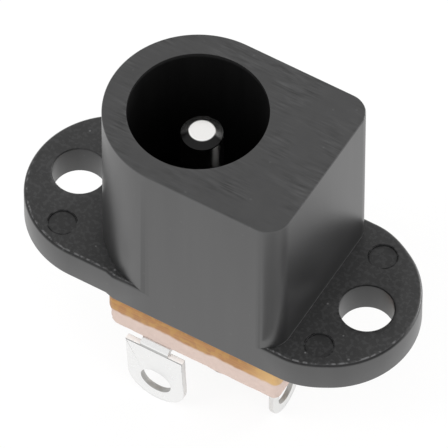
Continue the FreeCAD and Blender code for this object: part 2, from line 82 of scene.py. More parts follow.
# Shader nodes
class NodeGraph:
    """Short notation for adding and joining the nodes of one tree."""

    def __init__(self, tree: bpy.types.NodeTree) -> None:
        """Start on a tree.

        Args:
            tree: The node tree that receives the nodes.
        """
        self.tree = tree

    def add(self, kind: str, settings: dict | None = None, **inputs: object) -> bpy.types.Node:
        """Add a node, set its properties and fill or link its inputs.

        Args:
            kind: Node class name.
            settings: Properties of the node, by name.
            **inputs: Values or output sockets, by input name with spaces as underscores.

        Returns:
            The new node.
        """
        node = self.tree.nodes.new(kind)
        for name, value in (settings or {}).items():
            setattr(node, name, value)
        for name, value in inputs.items():
            self.feed(node.inputs[name.replace("_", " ")], value)
        return node

    def feed(self, socket: bpy.types.NodeSocket, value: object) -> None:
        """Give an input a constant or a link.

        Args:
            socket: The input.
            value: A number, a tuple or an output socket.
        """
        if isinstance(value, bpy.types.NodeSocket):
            self.tree.links.new(value, socket)
        else:
            socket.default_value = value

    def maths(self, operation: str, first: object, second: object = 0.0) -> bpy.types.NodeSocket:
        """Join two numbers by a maths operation.

        Args:
            operation: Name of the operation.
            first: First number or socket.
            second: Second number or socket.

        Returns:
            The result's socket.
        """
        node = self.add("ShaderNodeMath", {"operation": operation})
        self.feed(node.inputs[0], first)
        self.feed(node.inputs[1], second)
        return node.outputs[0]

    def times(self, *factors: object) -> bpy.types.NodeSocket:
        """Product of two or more numbers.

        Args:
            *factors: Numbers or sockets.

        Returns:
            The product's socket.
        """
        product = factors[0]
        for factor in factors[1:]:
            product = self.maths("MULTIPLY", product, factor)
        return product

    def plus(self, first: object, second: object) -> bpy.types.NodeSocket:
        """Sum of two numbers.

        Args:
            first: First number or socket.
            second: Second number or socket.

        Returns:
            The sum's socket.
        """
        return self.maths("ADD", first, second)

    def minus(self, first: object, second: object) -> bpy.types.NodeSocket:
        """Difference of two numbers.

        Args:
            first: Number or socket to take from.
            second: Number or socket that is taken away.

        Returns:
            The difference's socket.
        """
        return self.maths("SUBTRACT", first, second)

    def tally(self, start: object, masks: dict[str, object], weights: Weights) -> bpy.types.NodeSocket:
        """A start value plus masks by their weights.

        Args:
            start: Number or socket that the sum starts from.
            masks: The masks, by name.
            weights: Name and weight of each mask that counts.

        Returns:
            The sum's socket.
        """
        total = start
        for name, weight in weights:
            total = self.plus(total, self.times(masks[name], weight))
        return total

    def reach(self, first: object, second: object) -> bpy.types.NodeSocket:
        """Length of a vector in a plane.

        Args:
            first: Its first coordinate.
            second: Its second coordinate.

        Returns:
            The length's socket.
        """
        squares = self.plus(self.times(first, first), self.times(second, second))
        return self.maths("SQRT", squares)

    def blend(self, factor: object, low: object, high: object) -> bpy.types.NodeSocket:
        """Mix two colours.

        Args:
            factor: Share of the second colour.
            low: First colour or socket.
            high: Second colour or socket.

        Returns:
            The mixed colour's socket.
        """
        node = self.add("ShaderNodeMix", {"data_type": "RGBA"})
        self.feed(node.inputs[0], factor)
        for index, colour in ((6, low), (7, high)):
            self.feed(node.inputs[index], colour + (1,) if isinstance(colour, tuple) else colour)
        return node.outputs[2]

    def fade(self, value: object, start: float, end: float) -> bpy.types.NodeSocket:
        """Smooth 0 to 1 mask between two values.

        Args:
            value: The number that is followed.
            start: Where the mask is 0.
            end: Where the mask is 1.

        Returns:
            The mask's socket.
        """
        node = self.add("ShaderNodeMapRange", {"interpolation_type": "SMOOTHSTEP"})
        for index, number in enumerate((value, start, end, 0.0, 1.0)):
            self.feed(node.inputs[index], number)
        return node.outputs[0]

    def window(self, value: object, rise: Span, fall: Span) -> bpy.types.NodeSocket:
        """Smooth mask that is 1 between two limits.

        Args:
            value: The number that is followed.
            rise: Where the lower limit's mask is 0 and 1.
            fall: Where the upper limit's mask is 0 and 1.

        Returns:
            The mask's socket.
        """
        return self.times(self.fade(value, *rise), self.fade(value, *fall))

    def coordinates(self, output: str) -> bpy.types.NodeSocket:
        """One of the object's own coordinates.

        Args:
            output: `Object` for the place in metres, `Normal` for the face's direction.

        Returns:
            The vector's socket.
        """
        return self.add("ShaderNodeTexCoord").outputs[output]

    def millimetres(self, scale: Sequence[float] = (1, 1, 1)) -> bpy.types.NodeSocket:
        """Object coordinates in millimetres, stretched along the axes.

        Args:
            scale: Stretch along X, Y and Z.

        Returns:
            The vector's socket.
        """
        factors = tuple(value / MILLIMETRE for value in scale)
        place = self.coordinates("Object")
        return self.add("ShaderNodeMapping", Vector=place, Scale=factors).outputs[0]

    def place(self) -> bpy.types.NodeOutputs:
        """Place in millimetres, split into its axes.

        Returns:
            The sockets of X, Y and Z.
        """
        return self.add("ShaderNodeSeparateXYZ", Vector=self.millimetres()).outputs

    def facing(self) -> bpy.types.NodeOutputs:
        """Direction that the surface faces, split into its axes.

        Returns:
            The sockets of X, Y and Z.
        """
        return self.add("ShaderNodeSeparateXYZ", Vector=self.coordinates("Normal")).outputs

    def cloud(
        self, scale: object, detail: float, stretch: Sequence[float] = (1, 1, 1)
    ) -> bpy.types.NodeSocket:
        """Noise over the object, about 0 to 1.

        Args:
            scale: Cells per millimetre, a number or a socket.
            detail: Number of finer layers.
            stretch: Factors on the coordinates, small ones drawing the noise out.

        Returns:
            The noise's socket.
        """
        place = self.millimetres(stretch)
        return self.add("ShaderNodeTexNoise", Vector=place, Scale=scale, Detail=detail).outputs[0]

    def emboss(self, shader: bpy.types.Node, height: object, strength: float) -> None:
        """Let a height in millimetres tilt the shader's normal.

        Args:
            shader: The Principled node.
            height: The height's socket.
            strength: Strength of the effect.
        """
        bump = self.add("ShaderNodeBump", Strength=strength, Distance=MILLIMETRE, Height=height)
        self.feed(shader.inputs["Normal"], bump.outputs[0])


def emptied(owner: bpy.types.ID) -> NodeGraph:
    """Give a material or world an empty node tree.

    Args:
        owner: The material or world.

    Returns:
        The tree's graph.
    """
    owner.use_nodes = True
    owner.node_tree.nodes.clear()
    return NodeGraph(owner.node_tree)


def node_group(name: str, inputs: dict[str, float], outputs: Sequence[str]) -> tuple:
    """Make an empty shader node group with its float sockets.

    Args:
        name: Name of the group.
        inputs: Inputs and their defaults.
        outputs: Names of the outputs.

    Returns:
        The group, its graph, its input node and its output node.
    """
    group = bpy.data.node_groups.new(name, "ShaderNodeTree")
    for label, value in inputs.items():
        socket = group.interface.new_socket(label, in_out="INPUT", socket_type="NodeSocketFloat")
        socket.default_value = value
    for label in outputs:
        group.interface.new_socket(label, in_out="OUTPUT", socket_type="NodeSocketFloat")
    graph = NodeGraph(group)
    return group, graph, graph.add("NodeGroupInput"), graph.add("NodeGroupOutput")


def speckle_group() -> bpy.types.ShaderNodeTree:
    """Fine grain and sparse specks.

    Returns:
        The group, with outputs `Grain` and `Specks`, both 0 to 1.
    """
    group, graph, source, sink = node_group(
        "speckle", {"Grain size": 9.0, "Speck size": 5.0, "Speck share": 0.3}, ("Grain", "Specks")
    )
    grain = graph.cloud(source.outputs[0], 5.0)
    speck = graph.cloud(source.outputs[1], 3.0)
    over = graph.minus(speck, graph.minus(0.8, source.outputs[2]))
    graph.feed(sink.inputs[0], grain)
    graph.feed(sink.inputs[1], graph.fade(over, 0.0, 0.08))
    return group


def streak_group() -> bpy.types.ShaderNodeTree:
    """Fine lines along X, broken up in length.

    Returns:
        The group, with the output `Streaks`, 0 to 1 and 0.5 where there is none.
    """
    group, graph, source, sink = node_group("streaks", {"Lines per mm": 9.0}, ("Streaks",))
    fine = graph.cloud(source.outputs[0], 4.0, (0.12, 1.0, 0.12))
    strength = graph.fade(graph.cloud(0.45, 2.0), 0.35, 0.65)
    graph.feed(sink.inputs[0], graph.plus(graph.times(graph.minus(fine, 0.5), strength), 0.5))
    return group


@dataclass(frozen=True)
class SurfaceMaterial:
    """What every finish has: a name and a Principled surface to fill.

    Attributes:
        name: Name of the material.
    """

    name: str

    def begin(self) -> tuple[bpy.types.Material, NodeGraph, bpy.types.Node]:
        """Make the material with its surface shader.

        Returns:
            The material, its graph and its Principled node.
        """
        material = bpy.data.materials.new(self.name)
        graph = emptied(material)
        shader = graph.add("ShaderNodeBsdfPrincipled")
        graph.add("ShaderNodeOutputMaterial", Surface=shader.outputs[0])
        return material, graph, shader


@dataclass(frozen=True)
class MouldedPlastic(SurfaceMaterial):
    """Black moulding: grained flange, machined-looking top, flow marks and a bore darkened by painted
    shade.

    Attributes:
        colour: Linear base colour.
        ior: Index of refraction.
        roughness: Roughness of the smooth walls.
        gloss: Reflection level of the smooth walls, 0.5 being that of the index alone.
        bore: Radius of the plug bore, in millimetres.
        top: Level of the barrel's top face, in millimetres.
        screw: Radius of the screw holes, in millimetres.
        screw_place: Distance of their axes from the middle, in millimetres.
        mark: Distances of the ejector marks from the middle, in millimetres.
        mark_radius: Radius of the seam round them, in millimetres.
        tone: How the masks change the base colour.
        bore_shade: Share of the base colour that the bore loses, painted shade deep in the bore.
        joint_highlight: How much the painted highlight along the joint of the barrel's flat end with the
            flange lightens the base colour.
        matting: How the masks change the roughness.
        dulling: How the masks change the reflection level.
        grain: How the flange's grain stands against that of the walls.
        relief: Height of the bumps in millimetres.
    """

    colour: Colour = (0.018, 0.018, 0.0184)
    ior: float = 1.64
    roughness: float = 0.34
    gloss: float = 0.72
    bore: float = 3.2
    top: float = 8.8
    screw: float = 1.25
    screw_place: float = 7.5
    mark: Point = (6.7, 2.85)
    mark_radius: float = 0.66
    tone: Weights = (
        ("streak", 5.0),
        ("specks", 0.6),
        ("flange", -0.45),
        # Painted highlight: a broken bright line along the flange's upper edge.
        ("edge_highlight", 4.5),
        ("dots", 0.8),
        ("flange_dots", 3.5),
    )
    bore_shade: float = 0.75
    joint_highlight: float = 3.0
    matting: Weights = (("flange", 0.2), ("top", 0.05), ("bore", 0.3))
    dulling: Weights = (
        ("bore", -0.62),
        ("top", -0.22),
        ("flange", -0.32),
        ("screw_hole", -0.3),
        ("ring", -0.32),
        ("shade", -0.45),
        ("flow", 0.12),
        ("foot", -0.4),
    )
    grain: tuple[float, Weights] = (0.35, (("flange", 2.5),))
    relief: Weights = (("grain", 0.0015), ("streak", 0.012), ("flow", 0.004))

    def build(
        self, speckle: bpy.types.ShaderNodeTree, streaks: bpy.types.ShaderNodeTree
    ) -> bpy.types.Material:
        """Make the material.

        Args:
            speckle: Node group with grain and specks.
            streaks: Node group with fine lines.

        Returns:
            The material.
        """
        material, graph, shader = self.begin()
        masks = self.masks(graph, speckle, streaks)
        level = graph.tally(1.0, masks, self.tone)
        # Painted shade: the bore's wall and floor are darkened in the base colour.
        level = graph.times(level, graph.minus(1.0, graph.times(masks["bore"], self.bore_shade)))
        # Painted highlight: a thin light line where the barrel's flat end meets the flange.
        level = graph.plus(level, graph.times(masks["joint"], self.joint_highlight))
        colour = graph.add("ShaderNodeVectorMath", {"operation": "SCALE"})
        graph.feed(colour.inputs[0], self.colour)
        graph.feed(colour.inputs["Scale"], level)
        graph.feed(shader.inputs["Base Color"], colour.outputs[0])
        shader.inputs["IOR"].default_value = self.ior
        graph.feed(shader.inputs["Roughness"], graph.tally(self.roughness, masks, self.matting))
        gloss = graph.tally(self.gloss, masks, self.dulling)
        graph.feed(shader.inputs["Specular IOR Level"], gloss)
        graph.emboss(shader, graph.tally(0.0, masks, self.relief), 1.0)
        return material

    def masks(
        self,
        graph: NodeGraph,
        speckle: bpy.types.ShaderNodeTree,
        streaks: bpy.types.ShaderNodeTree,
    ) -> dict[str, bpy.types.NodeSocket]:
        """Masks of everything that changes over the moulding.

        Args:
            graph: Graph that receives the nodes.
            speckle: Node group with grain and specks.
            streaks: Node group with fine lines.

        Returns:
            The masks, by name.
        """
        grain = graph.add("ShaderNodeGroup", {"node_tree": speckle})
        lines = graph.add("ShaderNodeGroup", {"node_tree": streaks})
        x, y, z = graph.place()
        up = graph.fade(graph.facing()[2], 0.7, 0.95)
        masks = {
            "top": graph.times(up, graph.fade(z, self.top - 1.3, self.top - 0.3)),
            "flange": graph.times(up, graph.fade(z, 0.4, 0.1)),
            "bore": self.inside_bore(graph, (x, y, z)),
            "screw_hole": self.in_screw_hole(graph, (x, y, z)),
            "flow": self.flow_marks(graph),
            "dots": self.dots(graph),
        }
        masks["streak"] = graph.times(graph.minus(lines.outputs[0], 0.5), masks["top"])
        masks["specks"] = graph.times(grain.outputs["Specks"], masks["flange"])
        masks["flange_dots"] = graph.times(masks["dots"], masks["flange"])
        masks["ring"] = graph.times(self.ejector_ring(graph, (x, y, z)), masks["flange"])
        masks["edge_highlight"], masks["shade"] = self.edge_lines(graph, (x, y, z))
        masks["foot"], masks["joint"] = self.right_foot(graph, z)
        start, weights = self.grain
        masks["grain"] = graph.times(grain.outputs["Grain"], graph.tally(start, masks, weights))
        return masks

    def in_screw_hole(self, graph: NodeGraph, place: Sequence[object]) -> bpy.types.NodeSocket:
        """Mask of the screw holes' walls.

        Args:
            graph: Graph that receives the nodes.
            place: Sockets of the place's axes.

        Returns:
            The mask's socket.
        """
        across = graph.minus(graph.maths("ABSOLUTE", place[0]), self.screw_place)
        return graph.fade(graph.reach(across, place[1]), self.screw + 0.05, self.screw + 0.02)

    @staticmethod
    def right_foot(graph: NodeGraph, height: bpy.types.NodeSocket) -> tuple:
        """Masks of the barrel's flat end near its foot, where painted shade dims the reflection, and of
        the painted highlight along its joint with the flange.

        Args:
            graph: Graph that receives the nodes.
            height: Socket of the level in millimetres.

        Returns:
            The sockets of the foot's and of the joint's mask.
        """
        above = graph.fade(height, -0.02, 0.0)
        flat = graph.times(graph.fade(graph.facing()[0], 0.75, 0.95), above)
        foot = graph.times(flat, graph.fade(height, 2.2, 0.6))
        joint = graph.times(flat, graph.fade(height, 0.09, 0.05))
        return foot, joint

    def inside_bore(self, graph: NodeGraph, place: Sequence[object]) -> bpy.types.NodeSocket:
        """Mask of the plug bore's wall and floor.

        Args:
            graph: Graph that receives the nodes.
            place: Sockets of the place's axes.

        Returns:
            The mask's socket.
        """
        reach = graph.reach(graph.minus(place[0], BORE_TO_ROW.x), place[1])
        near = graph.fade(reach, self.bore + 0.08, self.bore + 0.02)
        return graph.times(near, graph.fade(place[2], self.top, self.top - 0.3))

    def ejector_ring(self, graph: NodeGraph, place: Sequence[object]) -> bpy.types.NodeSocket:
        """Mask of the four uneven seams round the ejector marks.

        Args:
            graph: Graph that receives the nodes.
            place: Sockets of the place's axes.

        Returns:
            The mask's socket.
        """
        across, deep = (
            graph.minus(graph.maths("ABSOLUTE", axis), distance)
            for axis, distance in zip(place, self.mark)
        )
        reach = graph.reach(across, deep)
        away = graph.maths("ABSOLUTE", graph.minus(reach, self.mark_radius))
        uneven = graph.fade(graph.cloud(1.9, 3.0), 0.36, 0.56)
        seam = graph.times(graph.fade(away, 0.07, 0.02), uneven)
        sunk = graph.times(graph.fade(reach, self.mark_radius, self.mark_radius - 0.04), 0.2)
        return graph.maths("MAXIMUM", seam, sunk)

    @staticmethod
    def edge_lines(graph: NodeGraph, place: Sequence[object]) -> tuple:
        """Masks of the painted highlight, a broken bright line in the base colour, and of the painted
        shade, a dark line that dims the reflection, along the flange's upper edge.

        Args:
            graph: Graph that receives the nodes.
            place: Sockets of the place's axes.

        Returns:
            The sockets of the bright and of the dark mask.
        """
        tilt = graph.facing()[2]
        near = graph.window(place[2], (-0.25, -0.2), (0.02, 0.0))
        bright = graph.window(tilt, (0.84, 0.9), (0.998, 0.99))
        dark = graph.window(tilt, (0.3, 0.5), (0.86, 0.8))
        front = graph.fade(place[1], 0.5, -1.5)
        broken = graph.fade(graph.cloud(3.6, 4.0), 0.44, 0.6)
        return graph.times(bright, broken, front, near), graph.times(dark, front, near)

    @staticmethod
    def dots(graph: NodeGraph) -> bpy.types.NodeSocket:
        """Mask of a few tiny pale dots.

        Args:
            graph: Graph that receives the nodes.

        Returns:
            The mask's socket.
        """
        cells = graph.add("ShaderNodeTexVoronoi", Vector=graph.millimetres(), Scale=1.1)
        return graph.fade(cells.outputs["Distance"], 0.075, 0.05)

    @staticmethod
    def flow_marks(graph: NodeGraph) -> bpy.types.NodeSocket:
        """Faint upright waves that the mould left on the walls.

        Args:
            graph: Graph that receives the nodes.

        Returns:
            The waves' socket, about -0.5 to 0.5.
        """
        return graph.minus(graph.cloud(1.3, 2.0, (1, 1, 0.08)), 0.5)


@dataclass(frozen=True)
class BoardLaminate(SurfaceMaterial):
    """Blanked laminate: brown faces and cut band, pale fibrous broken band.

    Attributes:
        face: Linear colour of the faces and the cleanly cut band.
        torn: Linear colour of the broken band.
        patch: Linear colour of the yellower patches in the cut band.
        end: Linear colour of the paler right-hand end.
        shadow: Linear colour of the line under the housing.
        border: Level where the broken band starts, in millimetres.
        blur: Half the height over which the bands run into each other.
        right_paling: Where the band starts to turn paler and where it is palest along X, in millimetres.
        strengths: Shares of the patches, the paler right end and the shadow line.
    """

    face: Colour = (0.385, 0.18, 0.056)
    torn: Colour = (0.63, 0.50, 0.445)
    patch: Colour = (0.41, 0.225, 0.058)
    end: Colour = (0.60, 0.38, 0.15)
    shadow: Colour = (0.07, 0.035, 0.02)
    border: float = -2.75
    blur: float = 0.12
    right_paling: Span = (3.2, 5.2)
    strengths: tuple[float, float, float] = (0.7, 0.75, 0.55)

    def build(self, speckle: bpy.types.ShaderNodeTree) -> bpy.types.Material:
        """Make the material.

        Args:
            speckle: Node group with grain and specks.

        Returns:
            The material.
        """
        material, graph, shader = self.begin()
        grain = graph.add("ShaderNodeGroup", {"node_tree": speckle})
        grain.inputs["Grain size"].default_value = 3.0
        x, _, z = graph.place()
        wander = graph.times(graph.minus(graph.cloud(1.1, 4.0), 0.5), 0.5)
        level = graph.plus(z, wander)
        torn = graph.fade(level, self.border + self.blur, self.border - self.blur)
        torn = graph.times(torn, graph.fade(graph.facing()[2], -0.9, -0.6))
        shaded = tuple(0.86 * value for value in self.torn)
        pale = graph.blend(grain.outputs["Grain"], shaded, self.torn)
        graph.feed(shader.inputs["Base Color"], graph.blend(torn, self.clean_band(graph, x, z), pale))
        graph.feed(shader.inputs["Roughness"], graph.plus(0.45, graph.times(torn, 0.4)))
        depth = graph.plus(graph.times(torn, 0.06), 0.004)
        graph.emboss(shader, graph.times(graph.cloud(6.0, 6.0), depth), 0.7)
        return material

    def clean_band(
        self, graph: NodeGraph, along: bpy.types.NodeSocket, height: bpy.types.NodeSocket
    ) -> bpy.types.NodeSocket:
        """Colour of the faces and the cleanly cut band.

        Args:
            graph: Graph that receives the nodes.
            along: Socket of the place along X.
            height: Socket of the level.

        Returns:
            The colour's socket.
        """
        patches, paling_share, shading = self.strengths
        layers = graph.fade(graph.cloud(4.0, 3.0, (0.2, 0.2, 3.0)), 0.3, 0.7)
        dark = tuple(0.78 * value for value in self.face)
        brown = graph.blend(layers, dark, self.face)
        tint = graph.fade(graph.cloud(2.6, 3.0), 0.42, 0.64)
        brown = graph.blend(graph.times(tint, patches), brown, self.patch)
        # The cut band turns paler towards the right-hand end.
        pale = graph.times(graph.fade(along, *self.right_paling), paling_share)
        brown = graph.blend(pale, brown, self.end)
        under = graph.times(graph.fade(height, -1.84, -1.74), shading, graph.fade(along, 3.0, 0.5))
        return graph.blend(under, brown, self.shadow)


@dataclass(frozen=True)
class PlatedMetal(SurfaceMaterial):
    """Plated contact metal with faint waves, hairlines, darker sheared edges, a painted glint on sheared
    walls that look upwards and a painted shade line along a fold.

    Attributes:
        colour: Linear colour of the plating.
        edge: Linear colour where the sheet was sheared.
        eye: Linear colour of the walls of the holes, and of the painted shade line along the fold.
        upward_glint: Linear colour of sheared walls that look upwards, a painted glint.
        shade_line_level: Level of that painted shade line on the front lug, in millimetres. By default
            it lies below
        the part, so that there is none.
        roughness: Roughness of the plating.
    """

    colour: Colour = (0.90, 0.90, 0.895)
    edge: Colour = (0.68, 0.675, 0.665)
    eye: Colour = (0.42, 0.42, 0.41)
    upward_glint: Colour = (0.95, 0.95, 0.95)
    shade_line_level: float = -100.0
    roughness: float = 0.28

    def build(self, speckle: bpy.types.ShaderNodeTree) -> bpy.types.Material:
        """Make the material.

        Args:
            speckle: Node group with grain and specks.

        Returns:
            The material.
        """
        material, graph, shader = self.begin()
        group = graph.add("ShaderNodeGroup", {"node_tree": speckle})
        group.inputs["Grain size"].default_value = 2.2
        grain = group.outputs["Grain"]
        sheared = graph.add("ShaderNodeAttribute", {"attribute_name": "sheared"}).outputs["Fac"]
        cut = graph.fade(sheared, 0.0, 1.0)
        eye = graph.fade(sheared, 1.0, 2.0)
        facing = graph.facing()
        # Painted glint: sheared walls that look upwards are made near white, as if catching light from
        # above.
        upward_glint = graph.times(graph.fade(facing[2], 0.8, 0.95), cut, graph.minus(1.0, eye))
        # Painted shade: a dark line across the front lug's face just below its fold, where the board
        # above shades it.
        rise = (self.shade_line_level - 0.12, self.shade_line_level - 0.07)
        fall = (self.shade_line_level + 0.09, self.shade_line_level + 0.05)
        fold = graph.times(graph.window(graph.place()[2], rise, fall), graph.fade(facing[1], -0.2, -0.4))
        colour = graph.blend(cut, self.colour, self.edge)
        colour = graph.blend(eye, colour, self.eye)
        colour = graph.blend(upward_glint, colour, self.upward_glint)
        colour = graph.blend(graph.times(fold, 0.8), colour, self.eye)
        graph.feed(shader.inputs["Base Color"], colour)
        masks = {"cut": cut, "upward_glint": upward_glint, "grain": grain}
        metal = graph.tally(1.0, masks, (("cut", -0.6), ("upward_glint", -0.4)))
        graph.feed(shader.inputs["Metallic"], metal)
        rough = graph.tally(self.roughness - 0.07, masks, (("cut", 0.2), ("grain", 0.1)))
        graph.feed(shader.inputs["Roughness"], rough)
        masks["hairs"] = graph.cloud(14.0, 3.0, (1, 1, 0.1))
        graph.emboss(shader, graph.tally(0.0, masks, (("hairs", 0.0008), ("grain", 0.003))), 0.6)
        return material


@dataclass(frozen=True)
class TurnedMetal(SurfaceMaterial):
    """Turned and plated pin with fine rings.

    Attributes:
        colour: Linear colour of the plating.
        bevel: Linear colour painted on the front of the tip's bevel, where it mirrors the bore.
        roughness: Roughness of the plating.
    """

    colour: Colour = (0.94, 0.93, 0.915)
    bevel: Colour = (0.022, 0.022, 0.022)
    roughness: float = 0.24

    def build(self) -> bpy.types.Material:
        """Make the material.

        Returns:
            The material.
        """
        material, graph, shader = self.begin()
        facing = graph.facing()
        steep = graph.window(facing[2], (0.05, 0.2), (0.93, 0.85))
        front = graph.fade(graph.minus(graph.times(facing[0], 0.4), facing[1]), -0.1, 0.2)
        colour = graph.blend(graph.times(steep, front), self.colour, self.bevel)
        graph.feed(shader.inputs["Base Color"], colour)
        graph.feed(shader.inputs["Metallic"], 1.0)
        graph.feed(shader.inputs["Roughness"], self.roughness)
        rings = graph.cloud(8.0, 2.0, (0.05, 0.05, 3.0))
        graph.emboss(shader, graph.times(rings, 0.003), 0.6)
        return material


# Outlines
def arc_points(centre: Point, radius: float, start: float, end: float, count: int) -> list[Point]:
    """Points along an arc, both ends included.

    Args:
        centre: Centre of the arc.
        radius: Its radius.
        start: First direction, in degrees.
        end: Last direction, in degrees.
        count: Number of spans.

    Returns:
        The points in order.
    """
    turns = (math.radians(start + (end - start) * step / count) for step in range(count + 1))
    return [
        (centre[0] + radius * math.cos(turn), centre[1] + radius * math.sin(turn))
        for turn in turns
    ]


class Outline(Protocol):
    """Closed outline that can be drawn smaller by an inset."""

    def points(self, inset: float = 0.0) -> list[Point]:
        """Points of the outline.

        Args:
            inset: How far they are moved inwards.

        Returns:
            The points in order.
        """


@dataclass(frozen=True)
class Disc:
    """Round outline.

    Attributes:
        centre: Its centre.
        radius: Its radius.
        count: Number of points.
    """

    centre: Point
    radius: float
    count: int = 96

    def points(self, inset: float = 0.0) -> list[Point]:
        """Points of the outline.

        Args:
            inset: How far they are moved inwards.

        Returns:
            The points in order.
        """
        return arc_points(self.centre, self.radius - inset, 0, 360, self.count)[:-1]


@dataclass(frozen=True)
class RoundedBox:
    """Rectangle with round corners.

    Attributes:
        low: Its lowest corner.
        high: Its highest corner.
        corner: Radius of the corners.
        count: Spans per corner.
    """

    low: Point
    high: Point
    corner: float
    count: int = 8

    def points(self, inset: float = 0.0) -> list[Point]:
        """Points of the outline.

        Args:
            inset: How far they are moved inwards.

        Returns:
            The points in order.
        """
        radius = self.corner - inset
        left, bottom = (value + self.corner for value in self.low)
        right, top = (value - self.corner for value in self.high)
        spots = (((right, bottom), 270), ((right, top), 0), ((left, top), 90), ((left, bottom), 180))
        return [
            point
            for centre, turn in spots
            for point in arc_points(centre, radius, turn, turn + 90, self.count)
        ]


@dataclass(frozen=True)
class BarrelOutline:
    """D shape: half round about the origin, squared at +X with round corners.

    Attributes:
        radius: Radius of the half round, and half the width.
        reach: How far the squared end lies from the origin.
        corner: Radius of its two corners.
        spans: Spans of the half round.
        corner_spans: Spans of each corner.
    """

    radius: float = 4.3
    reach: float = 6.6
    corner: float = 1.1
    spans: int = 160
    corner_spans: int = 48

    def points(self, inset: float = 0.0) -> list[Point]:
        """Points of the outline.

        Args:
            inset: How far they are moved inwards.

        Returns:
            The points in order.
        """
        inner = self.reach - self.corner
        level = self.radius - self.corner
        small = self.corner - inset
        return [
            *arc_points((0, 0), self.radius - inset, 90, 270, self.spans),
            *arc_points((inner, -level), small, 270, 360, self.corner_spans),
            *arc_points((inner, level), small, 0, 90, self.corner_spans),
        ]


@dataclass(frozen=True)
class FlangeOutline:
    """Oval with two round ends.

    Attributes:
        centre: Its centre along X.
        length: Its overall length.
        width: Its overall width.
        spans: Spans of each end.
    """

    centre: float = FLANGE_MIDDLE
    length: float = 19.5
    width: float = 8.35
    spans: int = 72

    def points(self, inset: float = 0.0) -> list[Point]:
        """Points of the outline.

        Args:
            inset: How far they are moved inwards.

        Returns:
            The points in order.
        """
        radius = self.width / 2
        half = self.length / 2 - radius
        small = radius - inset
        return [
            *arc_points((self.centre - half, 0), small, 90, 270, self.spans),
            *arc_points((self.centre + half, 0), small, -90, 90, self.spans),
        ]


@dataclass(frozen=True)
class SkirtOutline:
    """Skirt in plan: flush with the barrel's flat sides, running out into the flange at each end.

    Attributes:
        left: Where its flush sides start along X.
        half: Half its width.
        ramp: Length of the left ramp.
        sink: How far the left ramp's end lies inside the flush sides.
        centre: Centre of the flange's right-hand round along X, where the flush sides end.
        radius: Radius of that round, less a hair so that the sides meet it cleanly.
        bearing: Direction of the point where the sides have joined the round, in degrees from Y.
        steps: Spans of the bend that joins them.
    """

    left: float = -1.95
    half: float = 4.3
    ramp: float = 0.45
    sink: float = 0.13
    centre: float = 6.845
    radius: float = 4.171
    bearing: float = 32.0
    steps: int = 12

    def points(self, inset: float = 0.0) -> list[Point]:
        """Points of the outline.

        Args:
            inset: How far the long sides are moved inwards.

        Returns:
            The points in order.
        """
        near = self.half - inset
        side = [(self.left - self.ramp, self.sink - near), (self.left, -near)]
        for step in range(self.steps + 1):
            share = step / self.steps
            turn = math.radians(self.bearing * share)
            reach = near - (self.half - self.radius) * share * share * (3 - 2 * share)
            side.append((self.centre + reach * math.sin(turn), -reach * math.cos(turn)))
        return side + [(x, -y) for x, y in reversed(side)]


def edge_levels(bottom: float, top: float, low: float, high: float) -> list[Point]:
    """Heights and insets of a prism whose lower and upper edges are rounded.

    Args:
        bottom: Level of the lower face.
        top: Level of the upper face.
        low: Radius of the lower edge, 0 where it is sharp.
        high: Radius of the upper edge, 0 where it is sharp.

    Returns:
        Pairs of height and inset, from the bottom up.
    """
    steps = 6
    turns = [math.pi / 2 * step / steps for step in range(steps + 1)]
    start = [(bottom + low * (1 - math.sin(t)), low * (1 - math.cos(t))) for t in reversed(turns)]
    end = [(top - high * (1 - math.sin(t)), high * (1 - math.cos(t))) for t in turns]
    return (start if low else [(bottom, 0.0)]) + (end if high else [(top, 0.0)])


# Mesh building
def loft(bm: bmesh.types.BMesh, loops: Iterable[Iterable[Sequence[float]]]) -> None:
    """Closed solid through loops of equal length, with flat ends.

    Args:
        bm: Mesh that receives the solid.
        loops: The loops, each a series of 3-D points.
    """
    rings = [[bm.verts.new(point) for point in loop] for loop in loops]
    made = [bm.faces.new(rings[0][::-1]), bm.faces.new(rings[-1])]
    for lower, upper in zip(rings, rings[1:]):
        count = len(lower)
        for index in range(count):
            after = (index + 1) % count
            made.append(bm.faces.new((lower[index], lower[after], upper[after], upper[index])))
    bmesh.ops.recalc_face_normals(bm, faces=made)


def prism(
    outline: Outline, bottom: float, top: float, low: float = 0.0, high: float = 0.0
) -> bpy.types.Object:
    """Upright solid over an outline, with its end edges rounded.

    Args:
        outline: Its outline in plan.
        bottom: Level of the lower face.
        top: Level of the upper face.
        low: Radius of the lower edge.
        high: Radius of the upper edge.

    Returns:
        The solid as an object.
    """
    bm = bmesh.new()
    levels = edge_levels(bottom, top, low, high)
    loft(bm, [[(x, y, z) for x, y in outline.points(inset)] for z, inset in levels])
    return new_object("solid", bm)


def block(low: Sequence[float], high: Sequence[float]) -> bpy.types.Object:
    """Box between two corners.

    Args:
        low: Its lowest corner.
        high: Its highest corner.

    Returns:
        The box as an object.
    """
    bm = bmesh.new()
    box = [(low[0], low[1]), (high[0], low[1]), (high[0], high[1]), (low[0], high[1])]
    loft(bm, [[(x, y, z) for x, y in box] for z in (low[2], high[2])])
    return new_object("solid", bm)


def new_object(name: str, bm: bmesh.types.BMesh) -> bpy.types.Object:
    """Object at the origin made from a mesh in the making, which is freed.

    Args:
        name: Name of the object.
        bm: The mesh.

    Returns:
        The object, linked to the scene.
    """
    mesh = bpy.data.meshes.new(name)
    bm.to_mesh(mesh)
    bm.free()
    made = bpy.data.objects.new(name, mesh)
    bpy.context.scene.collection.objects.link(made)
    return made


class Join(Enum):
    """How a second solid changes the first."""

    ADD = "UNION"
    CUT = "DIFFERENCE"


